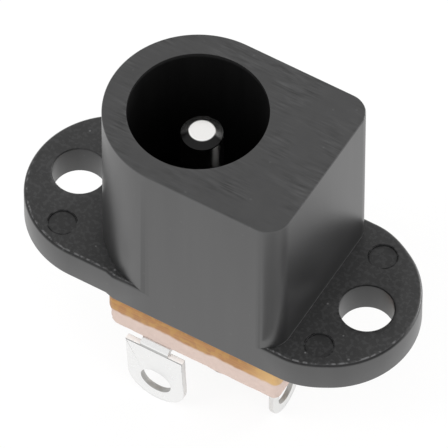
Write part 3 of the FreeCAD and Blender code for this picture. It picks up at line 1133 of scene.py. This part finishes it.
def combine(base: bpy.types.Object, tool: bpy.types.Object, how: Join) -> None:
    """Add a solid to another or cut it away, and remove the tool.

    Args:
        base: The solid that stays.
        tool: The solid that is used up.
        how: Whether it is added or cut.
    """
    step = base.modifiers.new("step", "BOOLEAN")
    step.operation = how.value
    step.solver = "EXACT"
    step.object = tool
    graph = bpy.context.evaluated_depsgraph_get()
    result = bpy.data.meshes.new_from_object(base.evaluated_get(graph))
    base.modifiers.clear()
    old = base.data
    base.data = result
    bpy.data.meshes.remove(old)
    used = tool.data
    bpy.data.objects.remove(tool)
    bpy.data.meshes.remove(used)


def settle(made: bpy.types.Object, name: str, shift: Vector = BORE_TO_ROW) -> None:
    """Move a mesh from millimetres about the bore into the row's frame in metres.

    Args:
        made: The object.
        name: Its final name.
        shift: Place of the mesh's origin in the row's frame, in millimetres.
    """
    made.data.transform(Matrix.Scale(MILLIMETRE, 4) @ Matrix.Translation(shift))
    made.name = name
    made.data.name = name


def smooth_curved_faces(mesh: bpy.types.Mesh, angle: float = 32.0) -> None:
    """Shade curved walls smooth and leave faces that square up with an axis flat.

    Args:
        mesh: The mesh.
        angle: Edges sharper than this many degrees stay crisp.
    """
    for polygon in mesh.polygons:
        polygon.use_smooth = max(abs(value) for value in polygon.normal) < 0.99999
    mesh.set_sharp_from_angle(angle=math.radians(angle))


def smooth_all(mesh: bpy.types.Mesh, angle: float) -> None:
    """Shade every face smooth apart from edges sharper than an angle.

    Args:
        mesh: The mesh.
        angle: The angle, in degrees.
    """
    for polygon in mesh.polygons:
        polygon.use_smooth = True
    mesh.set_sharp_from_angle(angle=math.radians(angle))


def dress(made: bpy.types.Object, node: str, material: bpy.types.Material) -> None:
    """Give a piece its material and its place in the part.

    Args:
        made: The piece.
        node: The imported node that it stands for.
        material: Its material.
    """
    made.data.materials.clear()
    made.data.materials.append(material)
    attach(made, "root")
    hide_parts(node)


# Housing
@dataclass(frozen=True)
class HousingModel:
    """Moulded housing with its hollows.

    Attributes:
        thickness: Thickness of the flange.
        height: Height of the barrel.
        bore: Radius of the plug bore.
        floor: Level of the bore's floor.
        screw: Radius of the screw holes.
        rim: Radius of the rounding at their mouths.
        edge: Radius of the flange's upper edge.
        foot: Radius of its lower edge.
        crown: Radius of the edge round the barrel's top.
        pocket: Corners of the contact pocket.
        window: Corners of the window between the pocket and the bore.
        seats: Radius, facets and upper level of the pin's hole and of its collar's seat.
        screw_reach: Distance of the screw holes from the flange's middle.
        mark_reach: Distances of the ejector marks from it.
        mark_radius: Radius of the ejector marks.
        mark_depth: Their depth.
        pegs: Places of the melted pegs below.
        peg: Radius, facets, lower and upper level of a peg.
        head: The same for its melted head, and the rounding of its lower edge.
    """

    thickness: float = 1.7
    height: float = 8.8
    bore: float = 3.2
    floor: float = -0.2
    screw: float = 1.25
    rim: float = 0.06
    edge: float = 0.18
    foot: float = 0.05
    crown: float = 0.07
    pocket: tuple[Place, Place] = ((3.95, -2.95, -3.0), (5.55, 2.95, 7.4))
    window: tuple[Place, Place] = ((1.5, -1.2, 1.95), (4.2, 1.2, 6.5))
    seats: tuple[tuple[float, int, float], ...] = ((1.075, 48, 1.0), (1.7, 64, -0.9))
    screw_reach: float = 7.5
    mark_reach: Point = (6.7, 2.85)
    mark_radius: float = 0.65
    mark_depth: float = 0.06
    pegs: tuple[Point, ...] = ((3.3, -3.0), (-1.2, 3.0))
    peg: tuple[float, int, float, float] = (0.6, 32, -4.0, -1.5)
    head: tuple[float, int, float, float, float] = (0.95, 32, -4.25, -3.9, 0.25)

    def build(self, material: bpy.types.Material) -> bpy.types.Object:
        """Make and dress the housing.

        Args:
            material: The plastic.

        Returns:
            The piece.
        """
        shell = prism(FlangeOutline(), -self.thickness, 0.0, self.foot, self.edge)
        skirt = prism(SkirtOutline(), -self.thickness, 0.0, self.foot, self.edge)
        combine(shell, skirt, Join.ADD)
        root = 0.1 - self.thickness
        combine(shell, prism(BarrelOutline(), root, self.height, 0.0, self.crown), Join.ADD)
        for tool in self.hollows():
            combine(shell, tool, Join.CUT)
        for spot in self.pegs:
            for radius, count, *levels in (self.peg, self.head):
                combine(shell, prism(Disc(spot, radius, count), *levels), Join.ADD)
        settle(shell, "housing_moulding")
        smooth_curved_faces(shell.data)
        dress(shell, "housing", material)
        return shell

    def hollows(self) -> list[bpy.types.Object]:
        """Solids to cut away.

        Returns:
            Bore, pocket, window, pin seats, screw holes and ejector marks.
        """
        below = self.pocket[0][2]
        above = 1.0
        tools = [
            prism(Disc((0, 0), self.bore, 128), self.floor, self.height + above),
            block(*self.pocket),
            block(*self.window),
        ]
        for radius, count, top in self.seats:
            tools.append(prism(Disc((PIN_OFFSET, 0), radius, count), below, top))
        for side in (-1, 1):
            screw = Disc((FLANGE_MIDDLE + self.screw_reach * side, 0), self.screw, 64)
            tools.append(self.screw_tool(screw))
            for row in (-1, 1):
                spot = (FLANGE_MIDDLE + self.mark_reach[0] * side, self.mark_reach[1] * row)
                tools.append(prism(Disc(spot, self.mark_radius, 40), -self.mark_depth, above))
        return tools

    def screw_tool(self, screw: Disc) -> bpy.types.Object:
        """Screw hole with both mouths rounded over.

        Args:
            screw: Outline of the hole.

        Returns:
            The solid to cut away.
        """
        turns = [math.pi / 2 * step / 4 for step in range(5)]
        upper = [(self.rim * (math.sin(t) - 1), -self.rim * (1 - math.cos(t))) for t in turns]
        lower = [(-self.thickness - z, inset) for z, inset in reversed(upper)]
        beyond = 1.0
        bottom = (-self.thickness - beyond, -self.rim)
        levels = [bottom, *lower, *upper, (beyond, -self.rim)]
        bm = bmesh.new()
        loft(bm, [[(x, y, z) for x, y in screw.points(inset)] for z, inset in levels])
        return new_object("screw", bm)


# Board
@dataclass(frozen=True)
class BoardModel:
    """Blanked laminate board with a clean band over a broken, drawn-in band.

    Attributes:
        low: Lowest corner of the outline.
        high: Highest corner.
        top: Level of its upper face.
        thickness: Its thickness.
        clean: Height of the clean band.
        inset: How far the broken band draws in.
        spacing: Distance between the points along its edge.
        corner: Radius of its corners.
        draw: Distance between the outer and the inner line that the edge is mixed from.
        pin_hole: Radius of the hole for the pin's tail.
        peg_hole: Radius of the holes for the pegs.
        slots: Limits of the slots for the blades along X.
        slot_reach: Their limits across it, from the middle outwards.
    """

    low: Point = (-2.35, -4.15)
    high: Point = (6.6, 4.15)
    top: float = BOARD_TOP
    thickness: float = 2.2
    clean: float = 1.05
    inset: float = 0.12
    spacing: float = 0.09
    corner: float = 0.35
    draw: float = 0.3
    pin_hole: float = 0.8
    peg_hole: float = 0.65
    slots: Span = (5.1, 5.55)
    slot_reach: Span = (0.15, 2.65)

    def build(self, material: bpy.types.Material) -> bpy.types.Object:
        """Make and dress the board.

        Args:
            material: The laminate.

        Returns:
            The piece.
        """
        bm = bmesh.new()
        loft(bm, [self.row(depth, inset, rough) for depth, inset, rough in self.rows()])
        board = new_object("board", bm)
        bottom = self.top - self.thickness - 0.5
        for tool in self.cuts(bottom):
            combine(board, tool, Join.CUT)
        settle(board, "base_board_laminate")
        smooth_curved_faces(board.data, 40)
        dress(board, "base_board", material)
        return board

    def rows(self) -> list[tuple[float, float, float]]:
        """Rows of points that make up the edge.

        Returns:
            Depth, inset and roughness of each row, from the underside up.
        """
        rows = [
            (self.thickness, self.inset + 0.02, 0.02),
            (self.thickness - 0.06, self.inset - 0.04, 0.04),
        ]
        steps = 9
        for step in range(steps, -1, -1):
            share = step / steps
            depth = self.clean + (self.thickness - self.clean - 0.12) * share
            rows.append((depth, 0.01 + (self.inset - 0.05) * share, 0.05 * min(1, share * 3)))
        rows += [(self.clean - 0.1, 0.0, 0.0), (0.04, 0.0, 0.0), (0.0, 0.03, 0.0)]
        return rows

    def row(self, depth: float, inset: float, rough: float) -> list[tuple[float, float, float]]:
        """One row of points round the edge, roughened inwards.

        Args:
            depth: Depth below the upper face.
            inset: How far the row lies inside the outline.
            rough: Greatest extra depth of the broken surface.

        Returns:
            The row's points.
        """
        box = RoundedBox(self.low, self.high, self.corner, 6)
        outer = resample(box.points(0.0), self.spacing)
        inner = resample(box.points(self.draw), self.spacing, len(outer))
        z = self.top - depth
        row = []
        for edge, deep in zip(outer, inner):
            place = Vector((edge[0], edge[1], z))
            bite = noise.noise(place * 2.1) * 0.6 + noise.noise(place * 6.0) * 0.4
            share = max(0.0, (inset + rough * (0.5 + bite)) / self.draw)
            x, y = (start + (end - start) * share for start, end in zip(edge, deep))
            row.append((x, y, z))
        return row

    def cuts(self, bottom: float) -> list[bpy.types.Object]:
        """Solids to cut away for the pin's tail, the pegs and the two blades.

        Args:
            bottom: Level that the cuts reach down to.

        Returns:
            The solids.
        """
        tools = [prism(Disc((PIN_OFFSET, 0), self.pin_hole, 32), bottom, 0.0)]
        for spot in HousingModel().pegs:
            tools.append(prism(Disc(spot, self.peg_hole, 32), bottom, 0.0))
        left, right = self.slots
        for side in (-1, 1):
            near, far = sorted(reach * side for reach in self.slot_reach)
            tools.append(block((left, near, bottom), (right, far, 0.0)))
        return tools


def resample(points: Sequence[Point], spacing: float, count: int | None = None) -> list[Point]:
    """Evenly spaced points along a closed outline.

    Args:
        points: The outline's corners.
        spacing: Distance between points, where no count is given.
        count: Number of points.

    Returns:
        The new points, starting at the first corner.
    """
    closed = list(points) + [points[0]]
    runs = [math.dist(a, b) for a, b in zip(closed, closed[1:])]
    total = sum(runs)
    count = count or round(total / spacing)
    result = []
    index = 0
    passed = 0.0
    for step in range(count):
        goal = total * step / count
        while passed + runs[index] < goal:
            passed += runs[index]
            index += 1
        share = (goal - passed) / runs[index] if runs[index] else 0.0
        start, end = closed[index], closed[index + 1]
        result.append(tuple(a + (b - a) * share for a, b in zip(start, end)))
    return result


# Pin
@dataclass(frozen=True)
class PinModel:
    """Turned centre pin with a collar and a riveted tail.

    Attributes:
        offset: Distance of its axis from the bore's.
        tip: Level of its tip.
        radius: Radius of its shank.
        dome: Radius and height of the domed tip.
        collar: Radius of the collar.
        seat: Level of the collar's upper face.
        tail: Radius of the tail.
        rivet: Radius and height of the rivet at the tail's end.
        rivet_top: Level where the rivet starts.
        spans: Facets round it.
    """

    offset: float = PIN_OFFSET
    tip: float = 7.6
    radius: float = 0.975
    dome: Span = (0.6, 0.08)
    collar: float = 1.6
    seat: float = -0.9
    tail: float = 0.75
    rivet: Span = (1.15, 0.36)
    rivet_top: float = -4.2
    spans: int = 72

    def build(self, material: bpy.types.Material) -> bpy.types.Object:
        """Make and dress the pin.

        Args:
            material: The plated metal.

        Returns:
            The piece.
        """
        bm = bmesh.new()
        chain = [bm.verts.new((x, 0.0, z)) for x, z in self.profile()]
        edges = [bm.edges.new(pair) for pair in zip(chain, chain[1:])]
        bmesh.ops.spin(
            bm,
            geom=chain + edges,
            cent=(0, 0, 0),
            axis=(0, 0, 1),
            angle=math.tau,
            steps=self.spans,
            use_merge=True,
        )
        bmesh.ops.remove_doubles(bm, verts=bm.verts, dist=1e-5)
        bmesh.ops.recalc_face_normals(bm, faces=bm.faces)
        pin = new_object("pin", bm)
        settle(pin, "centre_pin_turned", BORE_TO_ROW + Vector((self.offset, 0, 0)))
        smooth_all(pin.data, 38)
        dress(pin, "centre_pin", material)
        return pin

    def profile(self) -> list[Point]:
        """Half section of the pin.

        Returns:
            Radius and height of its corners, from the tip down to the rivet's end.
        """
        steps = 8
        wide, high = self.dome
        dome = [
            (wide * step / steps, self.tip - high * (step / steps) ** 2) for step in range(steps + 1)
        ]
        wide, high = self.rivet
        rivet = [
            (wide * (1 - (step / steps) ** 2) ** 0.5, self.rivet_top - high * step / steps)
            for step in range(steps + 1)
        ]
        shoulder = self.tip - 0.3
        bevel = 0.03
        return [
            *dome,
            (0.63, self.tip - 0.105),
            (self.radius - 0.035, shoulder + 0.025),
            (self.radius - 0.01, shoulder + 0.005),
            (self.radius, shoulder - 0.03),
            (self.radius, self.seat),
            (self.collar - bevel, self.seat),
            (self.collar, self.seat - bevel),
            (self.collar, BOARD_TOP),
            (self.tail, BOARD_TOP),
            (self.tail, self.rivet_top),
            *rivet,
        ]


# Sheet metal
@dataclass(frozen=True)
class Bend:
    """One stretch of a strip's middle line.

    Attributes:
        start: Where it starts.
        heading: Direction at its start, in radians.
        length: Its length.
        turn: Angle that it turns through, 0 on a straight stretch.
    """

    start: Point
    heading: float
    length: float
    turn: float = 0.0

    def at(self, distance: float) -> tuple[Point, float]:
        """Place and heading at a distance along the stretch.

        Args:
            distance: The distance from its start.

        Returns:
            The place, and the heading in radians.
        """
        if not self.turn:
            x = self.start[0] + distance * math.cos(self.heading)
            return (x, self.start[1] + distance * math.sin(self.heading)), self.heading
        radius = self.length / self.turn
        heading = self.heading + self.turn * distance / self.length
        x = self.start[0] + radius * (math.sin(heading) - math.sin(self.heading))
        y = self.start[1] - radius * (math.cos(heading) - math.cos(self.heading))
        return (x, y), heading


class Route:
    """Middle line of a bent strip: straight stretches joined by round bends."""

    def __init__(self, points: Sequence[Point], radii: Sequence[float]) -> None:
        """Lay the route out.

        Args:
            points: Its corners, ends included.
            radii: Radius of the middle line at each inner corner.
        """
        self.stretches: list[Bend] = []
        start = points[0]
        for index, corner in enumerate(points[1:], start=1):
            heading = math.atan2(corner[1] - points[index - 1][1], corner[0] - points[index - 1][0])
            run = 0.0
            turn = 0.0
            if index < len(points) - 1:
                ahead = points[index + 1]
                after = math.atan2(ahead[1] - corner[1], ahead[0] - corner[0])
                turn = (after - heading + math.pi) % math.tau - math.pi
                run = radii[index - 1] * math.tan(abs(turn) / 2)
            length = math.dist(start, corner) - run
            self.stretches.append(Bend(start, heading, length))
            if turn:
                entry, _ = self.stretches[-1].at(length)
                arc = Bend(entry, heading, radii[index - 1] * abs(turn), turn)
                self.stretches.append(arc)
                start, _ = arc.at(arc.length)
        self.length = sum(stretch.length for stretch in self.stretches)

    def at(self, distance: float) -> tuple[Point, float]:
        """Place and heading at a distance along the route, straight on beyond its ends.

        Args:
            distance: The distance from its start.

        Returns:
            The place, and the heading in radians.
        """
        for stretch in self.stretches[:-1]:
            if distance <= stretch.length:
                return stretch.at(distance)
            distance -= stretch.length
        return self.stretches[-1].at(distance)

    def cuts(self, spans: int = 8) -> list[float]:
        """Distances where the strip needs a cross line so that it can bend.

        Args:
            spans: Facets of each bend.

        Returns:
            The distances from the route's start.
        """
        result = []
        passed = 0.0
        for stretch in self.stretches:
            if stretch.turn:
                result += [passed + stretch.length * step / spans for step in range(spans + 1)]
            passed += stretch.length
        return result


@dataclass(frozen=True)
class SheetPart:
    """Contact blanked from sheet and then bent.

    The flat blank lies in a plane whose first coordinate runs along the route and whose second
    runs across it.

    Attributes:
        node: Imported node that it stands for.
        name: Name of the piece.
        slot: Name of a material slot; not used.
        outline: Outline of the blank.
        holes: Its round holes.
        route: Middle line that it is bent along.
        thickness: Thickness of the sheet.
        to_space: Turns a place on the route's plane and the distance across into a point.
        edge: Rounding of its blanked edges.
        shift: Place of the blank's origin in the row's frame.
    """

    node: str
    name: str
    slot: str
    outline: list[Point]
    holes: list[Disc]
    route: Route
    thickness: float
    to_space: Callable[[float, float, float], tuple[float, float, float]]
    edge: float = 0.03
    shift: Vector = field(default_factory=lambda: BORE_TO_ROW.copy())

    def build(self, material: bpy.types.Material) -> bpy.types.Object:
        """Blank, bend and dress the piece.

        Args:
            material: The plated metal.

        Returns:
            The piece.
        """
        bm = self.blank()
        self.mark_sheared(bm)
        rims = [edge for edge in bm.edges if len(edge.link_faces) == 2 and self.is_rim(edge)]
        bmesh.ops.bevel(
            bm,
            geom=rims,
            offset=self.edge,
            segments=2,
            profile=0.5,
            affect="EDGES",
            material=-1,
        )
        for vertex in bm.verts:
            along, across, off = vertex.co
            (first, second), heading = self.route.at(along)
            first -= off * math.sin(heading)
            second += off * math.cos(heading)
            vertex.co = self.to_space(first, second, across)
        bmesh.ops.recalc_face_normals(bm, faces=bm.faces)
        made = new_object(self.name, bm)
        settle(made, self.name, self.shift)
        smooth_all(made.data, 34)
        dress(made, self.node, material)
        return made

    def blank(self) -> bmesh.types.BMesh:
        """Flat blank with its holes, cut across where it will bend, at its full thickness.

        Returns:
            The blank's mesh.
        """
        bm = bmesh.new()
        for loop in [self.outline] + [hole.points() for hole in self.holes]:
            verts = [bm.verts.new((x, y, -self.thickness / 2)) for x, y in loop]
            for first, second in zip(verts, verts[1:] + verts[:1]):
                bm.edges.new((first, second))
        bmesh.ops.triangle_fill(bm, edges=bm.edges, use_beauty=True, use_dissolve=False)
        for distance in self.route.cuts():
            bmesh.ops.bisect_plane(
                bm,
                geom=bm.verts[:] + bm.edges[:] + bm.faces[:],
                dist=1e-6,
                plane_co=(distance, 0, 0),
                plane_no=(1, 0, 0),
            )
        grown = bmesh.ops.extrude_face_region(bm, geom=bm.faces[:])
        raised = [item for item in grown["geom"] if isinstance(item, bmesh.types.BMVert)]
        bmesh.ops.translate(bm, verts=raised, vec=(0, 0, self.thickness))
        bmesh.ops.recalc_face_normals(bm, faces=bm.faces)
        return bm

    def mark_sheared(self, bm: bmesh.types.BMesh) -> None:
        """Write 0 on the rolled faces, 1 on the cut outer walls and 2 on the walls of the holes.

        Args:
            bm: The flat blank.
        """
        layer = bm.faces.layers.float.new("sheared")
        margin = 1.02
        for face in bm.faces:
            place = face.calc_center_median().to_2d()
            bored = any(
                (place - Vector(hole.centre)).length < margin * hole.radius for hole in self.holes
            )
            cut = abs(face.normal.z) < 0.5
            face[layer] = (2.0 if bored else 1.0) if cut else 0.0

    @staticmethod
    def is_rim(edge: bmesh.types.BMEdge) -> bool:
        """Whether an edge of the flat blank joins a rolled face and a cut wall.

        Args:
            edge: The edge, with two faces.

        Returns:
            True where it does.
        """
        first, second = edge.link_faces
        return abs(abs(first.normal.z) - abs(second.normal.z)) > 0.5


def terminal_part() -> SheetPart:
    """Centre terminal: ring round the pin's tail, leg below the board and front lug.

    Returns:
        The part, ready to be built.
    """
    thickness = 0.3
    level = -3.9 - thickness / 2
    corner = (-4.33 + thickness / 2, level)
    back = math.radians(4.0)
    drop = level - LUG_END
    tip = (corner[0] + drop * math.sin(back), level - drop * math.cos(back))
    radius = 0.21
    route = Route([(0, level), corner, tip], [radius])
    end = route.length
    wide = 1.48
    shoulder = end - (drop - radius)
    leg = 0.725
    lean = math.degrees(math.asin(leg / wide))
    outline = [
        *arc_points((0, 0), wide, lean, 360 - lean, 48),
        (shoulder, -leg),
        (shoulder, -wide),
        *arc_points((end - wide, 0), wide, -90, 90, 40),
        (shoulder, wide),
        (shoulder, leg),
    ]
    holes = [Disc((0, 0), 0.75, 32), Disc((end - wide, 0), 0.775, 40)]
    return SheetPart(
        node="centre_terminal",
        name="centre_terminal_strip",
        slot="terminal_tin",
        outline=outline,
        holes=holes,
        route=route,
        thickness=thickness,
        to_space=lambda first, second, across: (across, first, second),
        shift=BORE_TO_ROW + Vector((PIN_OFFSET, 0, 0)),
    )


def blade_points(side: int, start: float) -> tuple[list[Point], list[Point], Disc]:
    """Blade below the board, on the flat blank.

    Args:
        side: -1 for the front blade, 1 for the back one.
        start: Level of the route's start, which the blank's first coordinate counts from.

    Returns:
        Points from the near side round the end to the far side, those of the shoulder that
        rests on the board, and the eye.
    """
    middle = BLADE_OFFSET * side
    radius = 1.15
    eye = LUG_END + radius - start
    end = arc_points((eye, middle), radius, 90, 270, 36)
    if side > 0:
        end = end[::-1]
    seat = BOARD_TOP - start
    shoulder = [(seat, reach * side) for reach in SHOULDER]
    return end, shoulder, Disc((eye, middle), 0.65, 36)


def blade_part(node: str, outline: list[Point], eye: Disc, route: Route) -> SheetPart:
    """Contact that ends in a blade below the board.

    Args:
        node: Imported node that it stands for.
        outline: Outline of the blank.
        eye: The blade's eye.
        route: Middle line that it is bent along.

    Returns:
        The part, ready to be built.
    """
    return SheetPart(
        node=node,
        name=f"{node}_strip",
        slot="spring_tin",
        outline=outline,
        holes=[eye],
        route=route,
        thickness=BLADE_THICKNESS,
        to_space=lambda first, second, across: (first, across, second),
    )


def spring_part() -> SheetPart:
    """Sleeve spring: front blade, foot, jog to the middle and the bowed leaf.

    Returns:
        The part, ready to be built.
    """
    back = BLADE_REACH - BLADE_THICKNESS / 2
    start = -0.55
    top = 7.1
    strand = 4.325
    bow = (2.725, 4.2)
    leaf = 0.85
    near = -0.25
    foot = 0.9
    far = -SHOULDER[1]
    bowed = [(strand, 6.4), bow, (strand, 2.0), (strand, 0.9)]
    corners = [(back, start), (back, top), (strand, top), *bowed]
    route = Route(corners, [0.4, 0.4, 0.5, 0.5, 0.5])
    end, shoulder, eye = blade_points(-1, start)
    outline = [
        *end,
        *shoulder,
        (foot, far),
        (foot, -leaf),
        (route.length, -leaf),
        (route.length, leaf),
        (0.0, leaf),
        (0.0, near),
    ]
    return blade_part("sleeve_spring", outline, eye, route)


def switch_part() -> SheetPart:
    """Switch contact: back blade, foot and the finger that the leaf rests on.

    Returns:
        The part, ready to be built.
    """
    back = BLADE_REACH - BLADE_THICKNESS / 2
    start = BOARD_TOP
    run = -1.125
    finger = 4.075
    top = 1.5
    bend = 0.25
    near, far = SHOULDER
    edge = 0.25
    route = Route([(back, start), (back, run), (finger, run), (finger, top)], [bend, bend])
    end, shoulder, eye = blade_points(1, start)
    foot = run - bend - start
    outline = [
        *end,
        *shoulder,
        (foot, far),
        (foot, near),
        (route.length, near),
        (route.length, edge),
    ]
    return blade_part("switch_contact", outline, eye, route)


# Camera and studio
@dataclass(frozen=True)
class PhotoCamera:
    """Camera that stands where the photographer's did.

    Attributes:
        azimuth: Turn about Z from the front, in degrees.
        elevation: Height above the horizon, in degrees.
        roll: Turn about the line of sight, in degrees.
        distance: Distance from the bore's origin, in millimetres.
        right: Shift to the right, in millimetres.
        up: Shift upwards, in millimetres.
        pixels: Focal length, in pixels of the picture.
        picture: Width of the picture in pixels.
    """

    azimuth: float = 30.450
    elevation: float = 54.015
    roll: float = 0.0947
    distance: float = 545.04
    right: float = 1.158
    up: float = 0.164
    pixels: float = 12106.33
    picture: int = 448

    def place(self) -> bpy.types.Object:
        """Make the camera the scene's own.

        Returns:
            The camera object.
        """
        turn = math.radians(self.azimuth)
        rise = math.radians(self.elevation)
        lean = math.radians(self.roll)
        back = Vector(
            (math.sin(turn) * math.cos(rise), -math.cos(turn) * math.cos(rise), math.sin(rise))
        )
        side = Vector((math.cos(turn), math.sin(turn), 0))
        top = back.cross(side)
        spot = back * self.distance + side * self.right + top * self.up + BORE_TO_ROW
        across = side * math.cos(lean) + top * math.sin(lean)
        upward = top * math.cos(lean) - side * math.sin(lean)
        data = bpy.data.cameras.new("photo_camera")
        data.sensor_width = 36.0
        data.lens = self.pixels * data.sensor_width / self.picture
        data.clip_start = 0.01
        data.clip_end = 20.0
        camera = bpy.data.objects.new("photo_camera", data)
        turned = Matrix((across, upward, back)).transposed().to_4x4()
        camera.matrix_world = Matrix.Translation(spot * MILLIMETRE) @ turned
        bpy.context.scene.collection.objects.link(camera)
        bpy.context.scene.camera = camera
        return camera


@dataclass(frozen=True)
class SoftBox:
    """Square area light that looks at the part.

    Attributes:
        name: Name of the light.
        place: Where it stands, in metres.
        size: Length of its side, in metres.
        power: Its power in watts.
        mirrored: Whether glossy surfaces show it.
    """

    name: str
    place: Sequence[float]
    size: float
    power: float
    mirrored: bool = False

    def hang(self) -> bpy.types.Object:
        """Put the light in the scene.

        Returns:
            The light object.
        """
        data = bpy.data.lights.new(self.name, "AREA")
        data.size = self.size
        data.energy = self.power
        lamp = bpy.data.objects.new(self.name, data)
        spot = Vector(self.place)
        lamp.matrix_world = Matrix.Translation(spot) @ spot.to_track_quat("Z", "Y").to_matrix().to_4x4()
        lamp.visible_glossy = self.mirrored
        bpy.context.scene.collection.objects.link(lamp)
        return lamp


@dataclass(frozen=True)
class GreyCard:
    """Level grey card that only reflections see, which shades a glossy wall above it.

    Attributes:
        name: Name of the card.
        corners: Its corners in plan, in millimetres in the row's frame.
        grey: Linear grey of the card.
        level: Its level, in millimetres.
    """

    name: str
    corners: tuple[Point, ...]
    grey: float
    level: float = 0.3

    def hang(self) -> bpy.types.Object:
        """Put the card in the scene.

        Returns:
            The card.
        """
        bm = bmesh.new()
        places = ((x, y, self.level) for x, y in self.corners)
        bm.faces.new([bm.verts.new([MILLIMETRE * value for value in place]) for place in places])
        card = new_object(self.name, bm)
        material = bpy.data.materials.new(self.name)
        graph = emptied(material)
        paint = graph.add("ShaderNodeBsdfDiffuse", Color=(self.grey, self.grey, self.grey, 1.0))
        graph.add("ShaderNodeOutputMaterial", Surface=paint.outputs[0])
        card.data.materials.append(material)
        card.visible_camera = False
        card.visible_diffuse = False
        card.visible_shadow = False
        return card


CORNER_CARD = ((4.55, -4.42), (5.75, -11.0), (12.5, -11.0), (12.5, -3.6), (8.4, -3.6), (6.7, -4.4))
RIM_CARD = ((12.5, -3.6), (12.8, 0.2), (10.0, 0.2), (9.9, -1.2), (9.3, -2.7), (8.5, -3.6))
SIDE_CARD = (
    (12.8, 0.2), (13.0, 4.0), (10.3, 5.6), (8.2, 3.7), (9.1, 2.9), (9.8, 1.4), (10.0, 0.2)
)
LEFT_CARD = (
    (-3.0, -4.5), (-5.5, -4.4), (-7.0, -4.0), (-8.6, -3.0),
    (-9.8, -1.6), (-10.6, -2.8), (-7.8, -5.0), (-4.0, -5.1),
)
HOLE_CARD = tuple(Disc((7.5, 0.0), 1.3, 24).points())


@dataclass(frozen=True)
class Studio:
    """White sweep, even surrounding light, three soft boxes and the cards.

    Attributes:
        floor: Level of the floor, in metres.
        half: Half the floor's side, in metres.
        glow: Share of the floor's brightness that no shadow reaches.
        light: Strength of the even light.
        paper: Linear grey of the floor.
        boxes: The soft boxes.
        cards: The grey cards.
    """

    floor: float = -0.0083
    half: float = 1.5
    glow: float = 0.86
    light: float = 0.9
    paper: float = 0.95
    boxes: tuple[SoftBox, ...] = (
        SoftBox("key_box", (-0.25, -0.35, 0.45), 0.3, 1.2),
        SoftBox("fill_box", (0.35, -0.2, 0.3), 0.3, 0.5),
        SoftBox("back_box", (0.32, 0.55, 0.12), 0.3, 2.2, True),
    )
    cards: tuple[GreyCard, ...] = (
        GreyCard("corner_card", CORNER_CARD, 0.42),
        GreyCard("rim_card", RIM_CARD, 0.06),
        GreyCard("side_card", SIDE_CARD, 0.6),
        GreyCard("left_card", LEFT_CARD, 0.7),
        GreyCard("hole_card", HOLE_CARD, 0.02, 0.1),
    )

    def build(self) -> None:
        """Set up the floor, the surroundings, the lights and the view transform."""
        self.lay_floor()
        self.light_world()
        for item in (*self.boxes, *self.cards):
            item.hang()
        bpy.context.scene.view_settings.view_transform = "Standard"

    def lay_floor(self) -> None:
        """Floor that is white to camera and reflections and keeps the part's faint shadow."""
        bm = bmesh.new()
        bmesh.ops.create_grid(bm, x_segments=1, y_segments=1, size=self.half)
        bmesh.ops.translate(bm, verts=bm.verts, vec=(0, 0, self.floor))
        floor = new_object("floor", bm)
        material = bpy.data.materials.new("floor_white")
        graph = emptied(material)
        tint = (self.paper, self.paper, self.paper, 1.0)
        paper = graph.add("ShaderNodeBsdfDiffuse", Color=tint)
        glow = graph.add("ShaderNodeEmission", Color=WHITE, Strength=1.0)
        path = graph.add("ShaderNodeLightPath").outputs
        seen = graph.maths("MAXIMUM", path["Is Camera Ray"], path["Is Glossy Ray"])
        mix = graph.add("ShaderNodeMixShader")
        graph.feed(mix.inputs[0], graph.times(seen, self.glow))
        graph.feed(mix.inputs[1], paper.outputs[0])
        graph.feed(mix.inputs[2], glow.outputs[0])
        graph.add("ShaderNodeOutputMaterial", Surface=mix.outputs[0])
        floor.data.materials.append(material)

    def light_world(self) -> None:
        """Even white surroundings, white to the camera."""
        world = bpy.data.worlds.new("surroundings")
        graph = emptied(world)
        seen = graph.add("ShaderNodeLightPath").outputs["Is Camera Ray"]
        strength = graph.plus(graph.times(seen, 1.0 - self.light), self.light)
        sky = graph.add("ShaderNodeBackground", Color=WHITE, Strength=strength)
        graph.add("ShaderNodeOutputWorld", Surface=sky.outputs[0])
        bpy.context.scene.world = world


def main() -> None:
    """Build the looks in order and log the main steps."""
    logging.basicConfig(level=logging.INFO, format="%(name)s: %(message)s")
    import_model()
    speckle = speckle_group()
    streaks = streak_group()
    plastic = MouldedPlastic("moulded_plastic").build(speckle, streaks)
    laminate = BoardLaminate("board_laminate").build(speckle)
    # The front lug's painted shade line along its fold sits at this level.
    tinned = PlatedMetal("tinned_terminal", shade_line_level=-4.22).build(speckle)
    spring = PlatedMetal("tinned_spring", colour=(0.8, 0.8, 0.79), roughness=0.32).build(speckle)
    nickel = TurnedMetal("nickel_pin").build()
    HousingModel().build(plastic)
    LOG.info("housing built")
    BoardModel().build(laminate)
    LOG.info("board built")
    PinModel().build(nickel)
    terminal_part().build(tinned)
    spring_part().build(spring)
    switch_part().build(spring)
    LOG.info("contacts built")
    PhotoCamera().place()
    Studio().build()


if __name__ == "__main__":
    main()
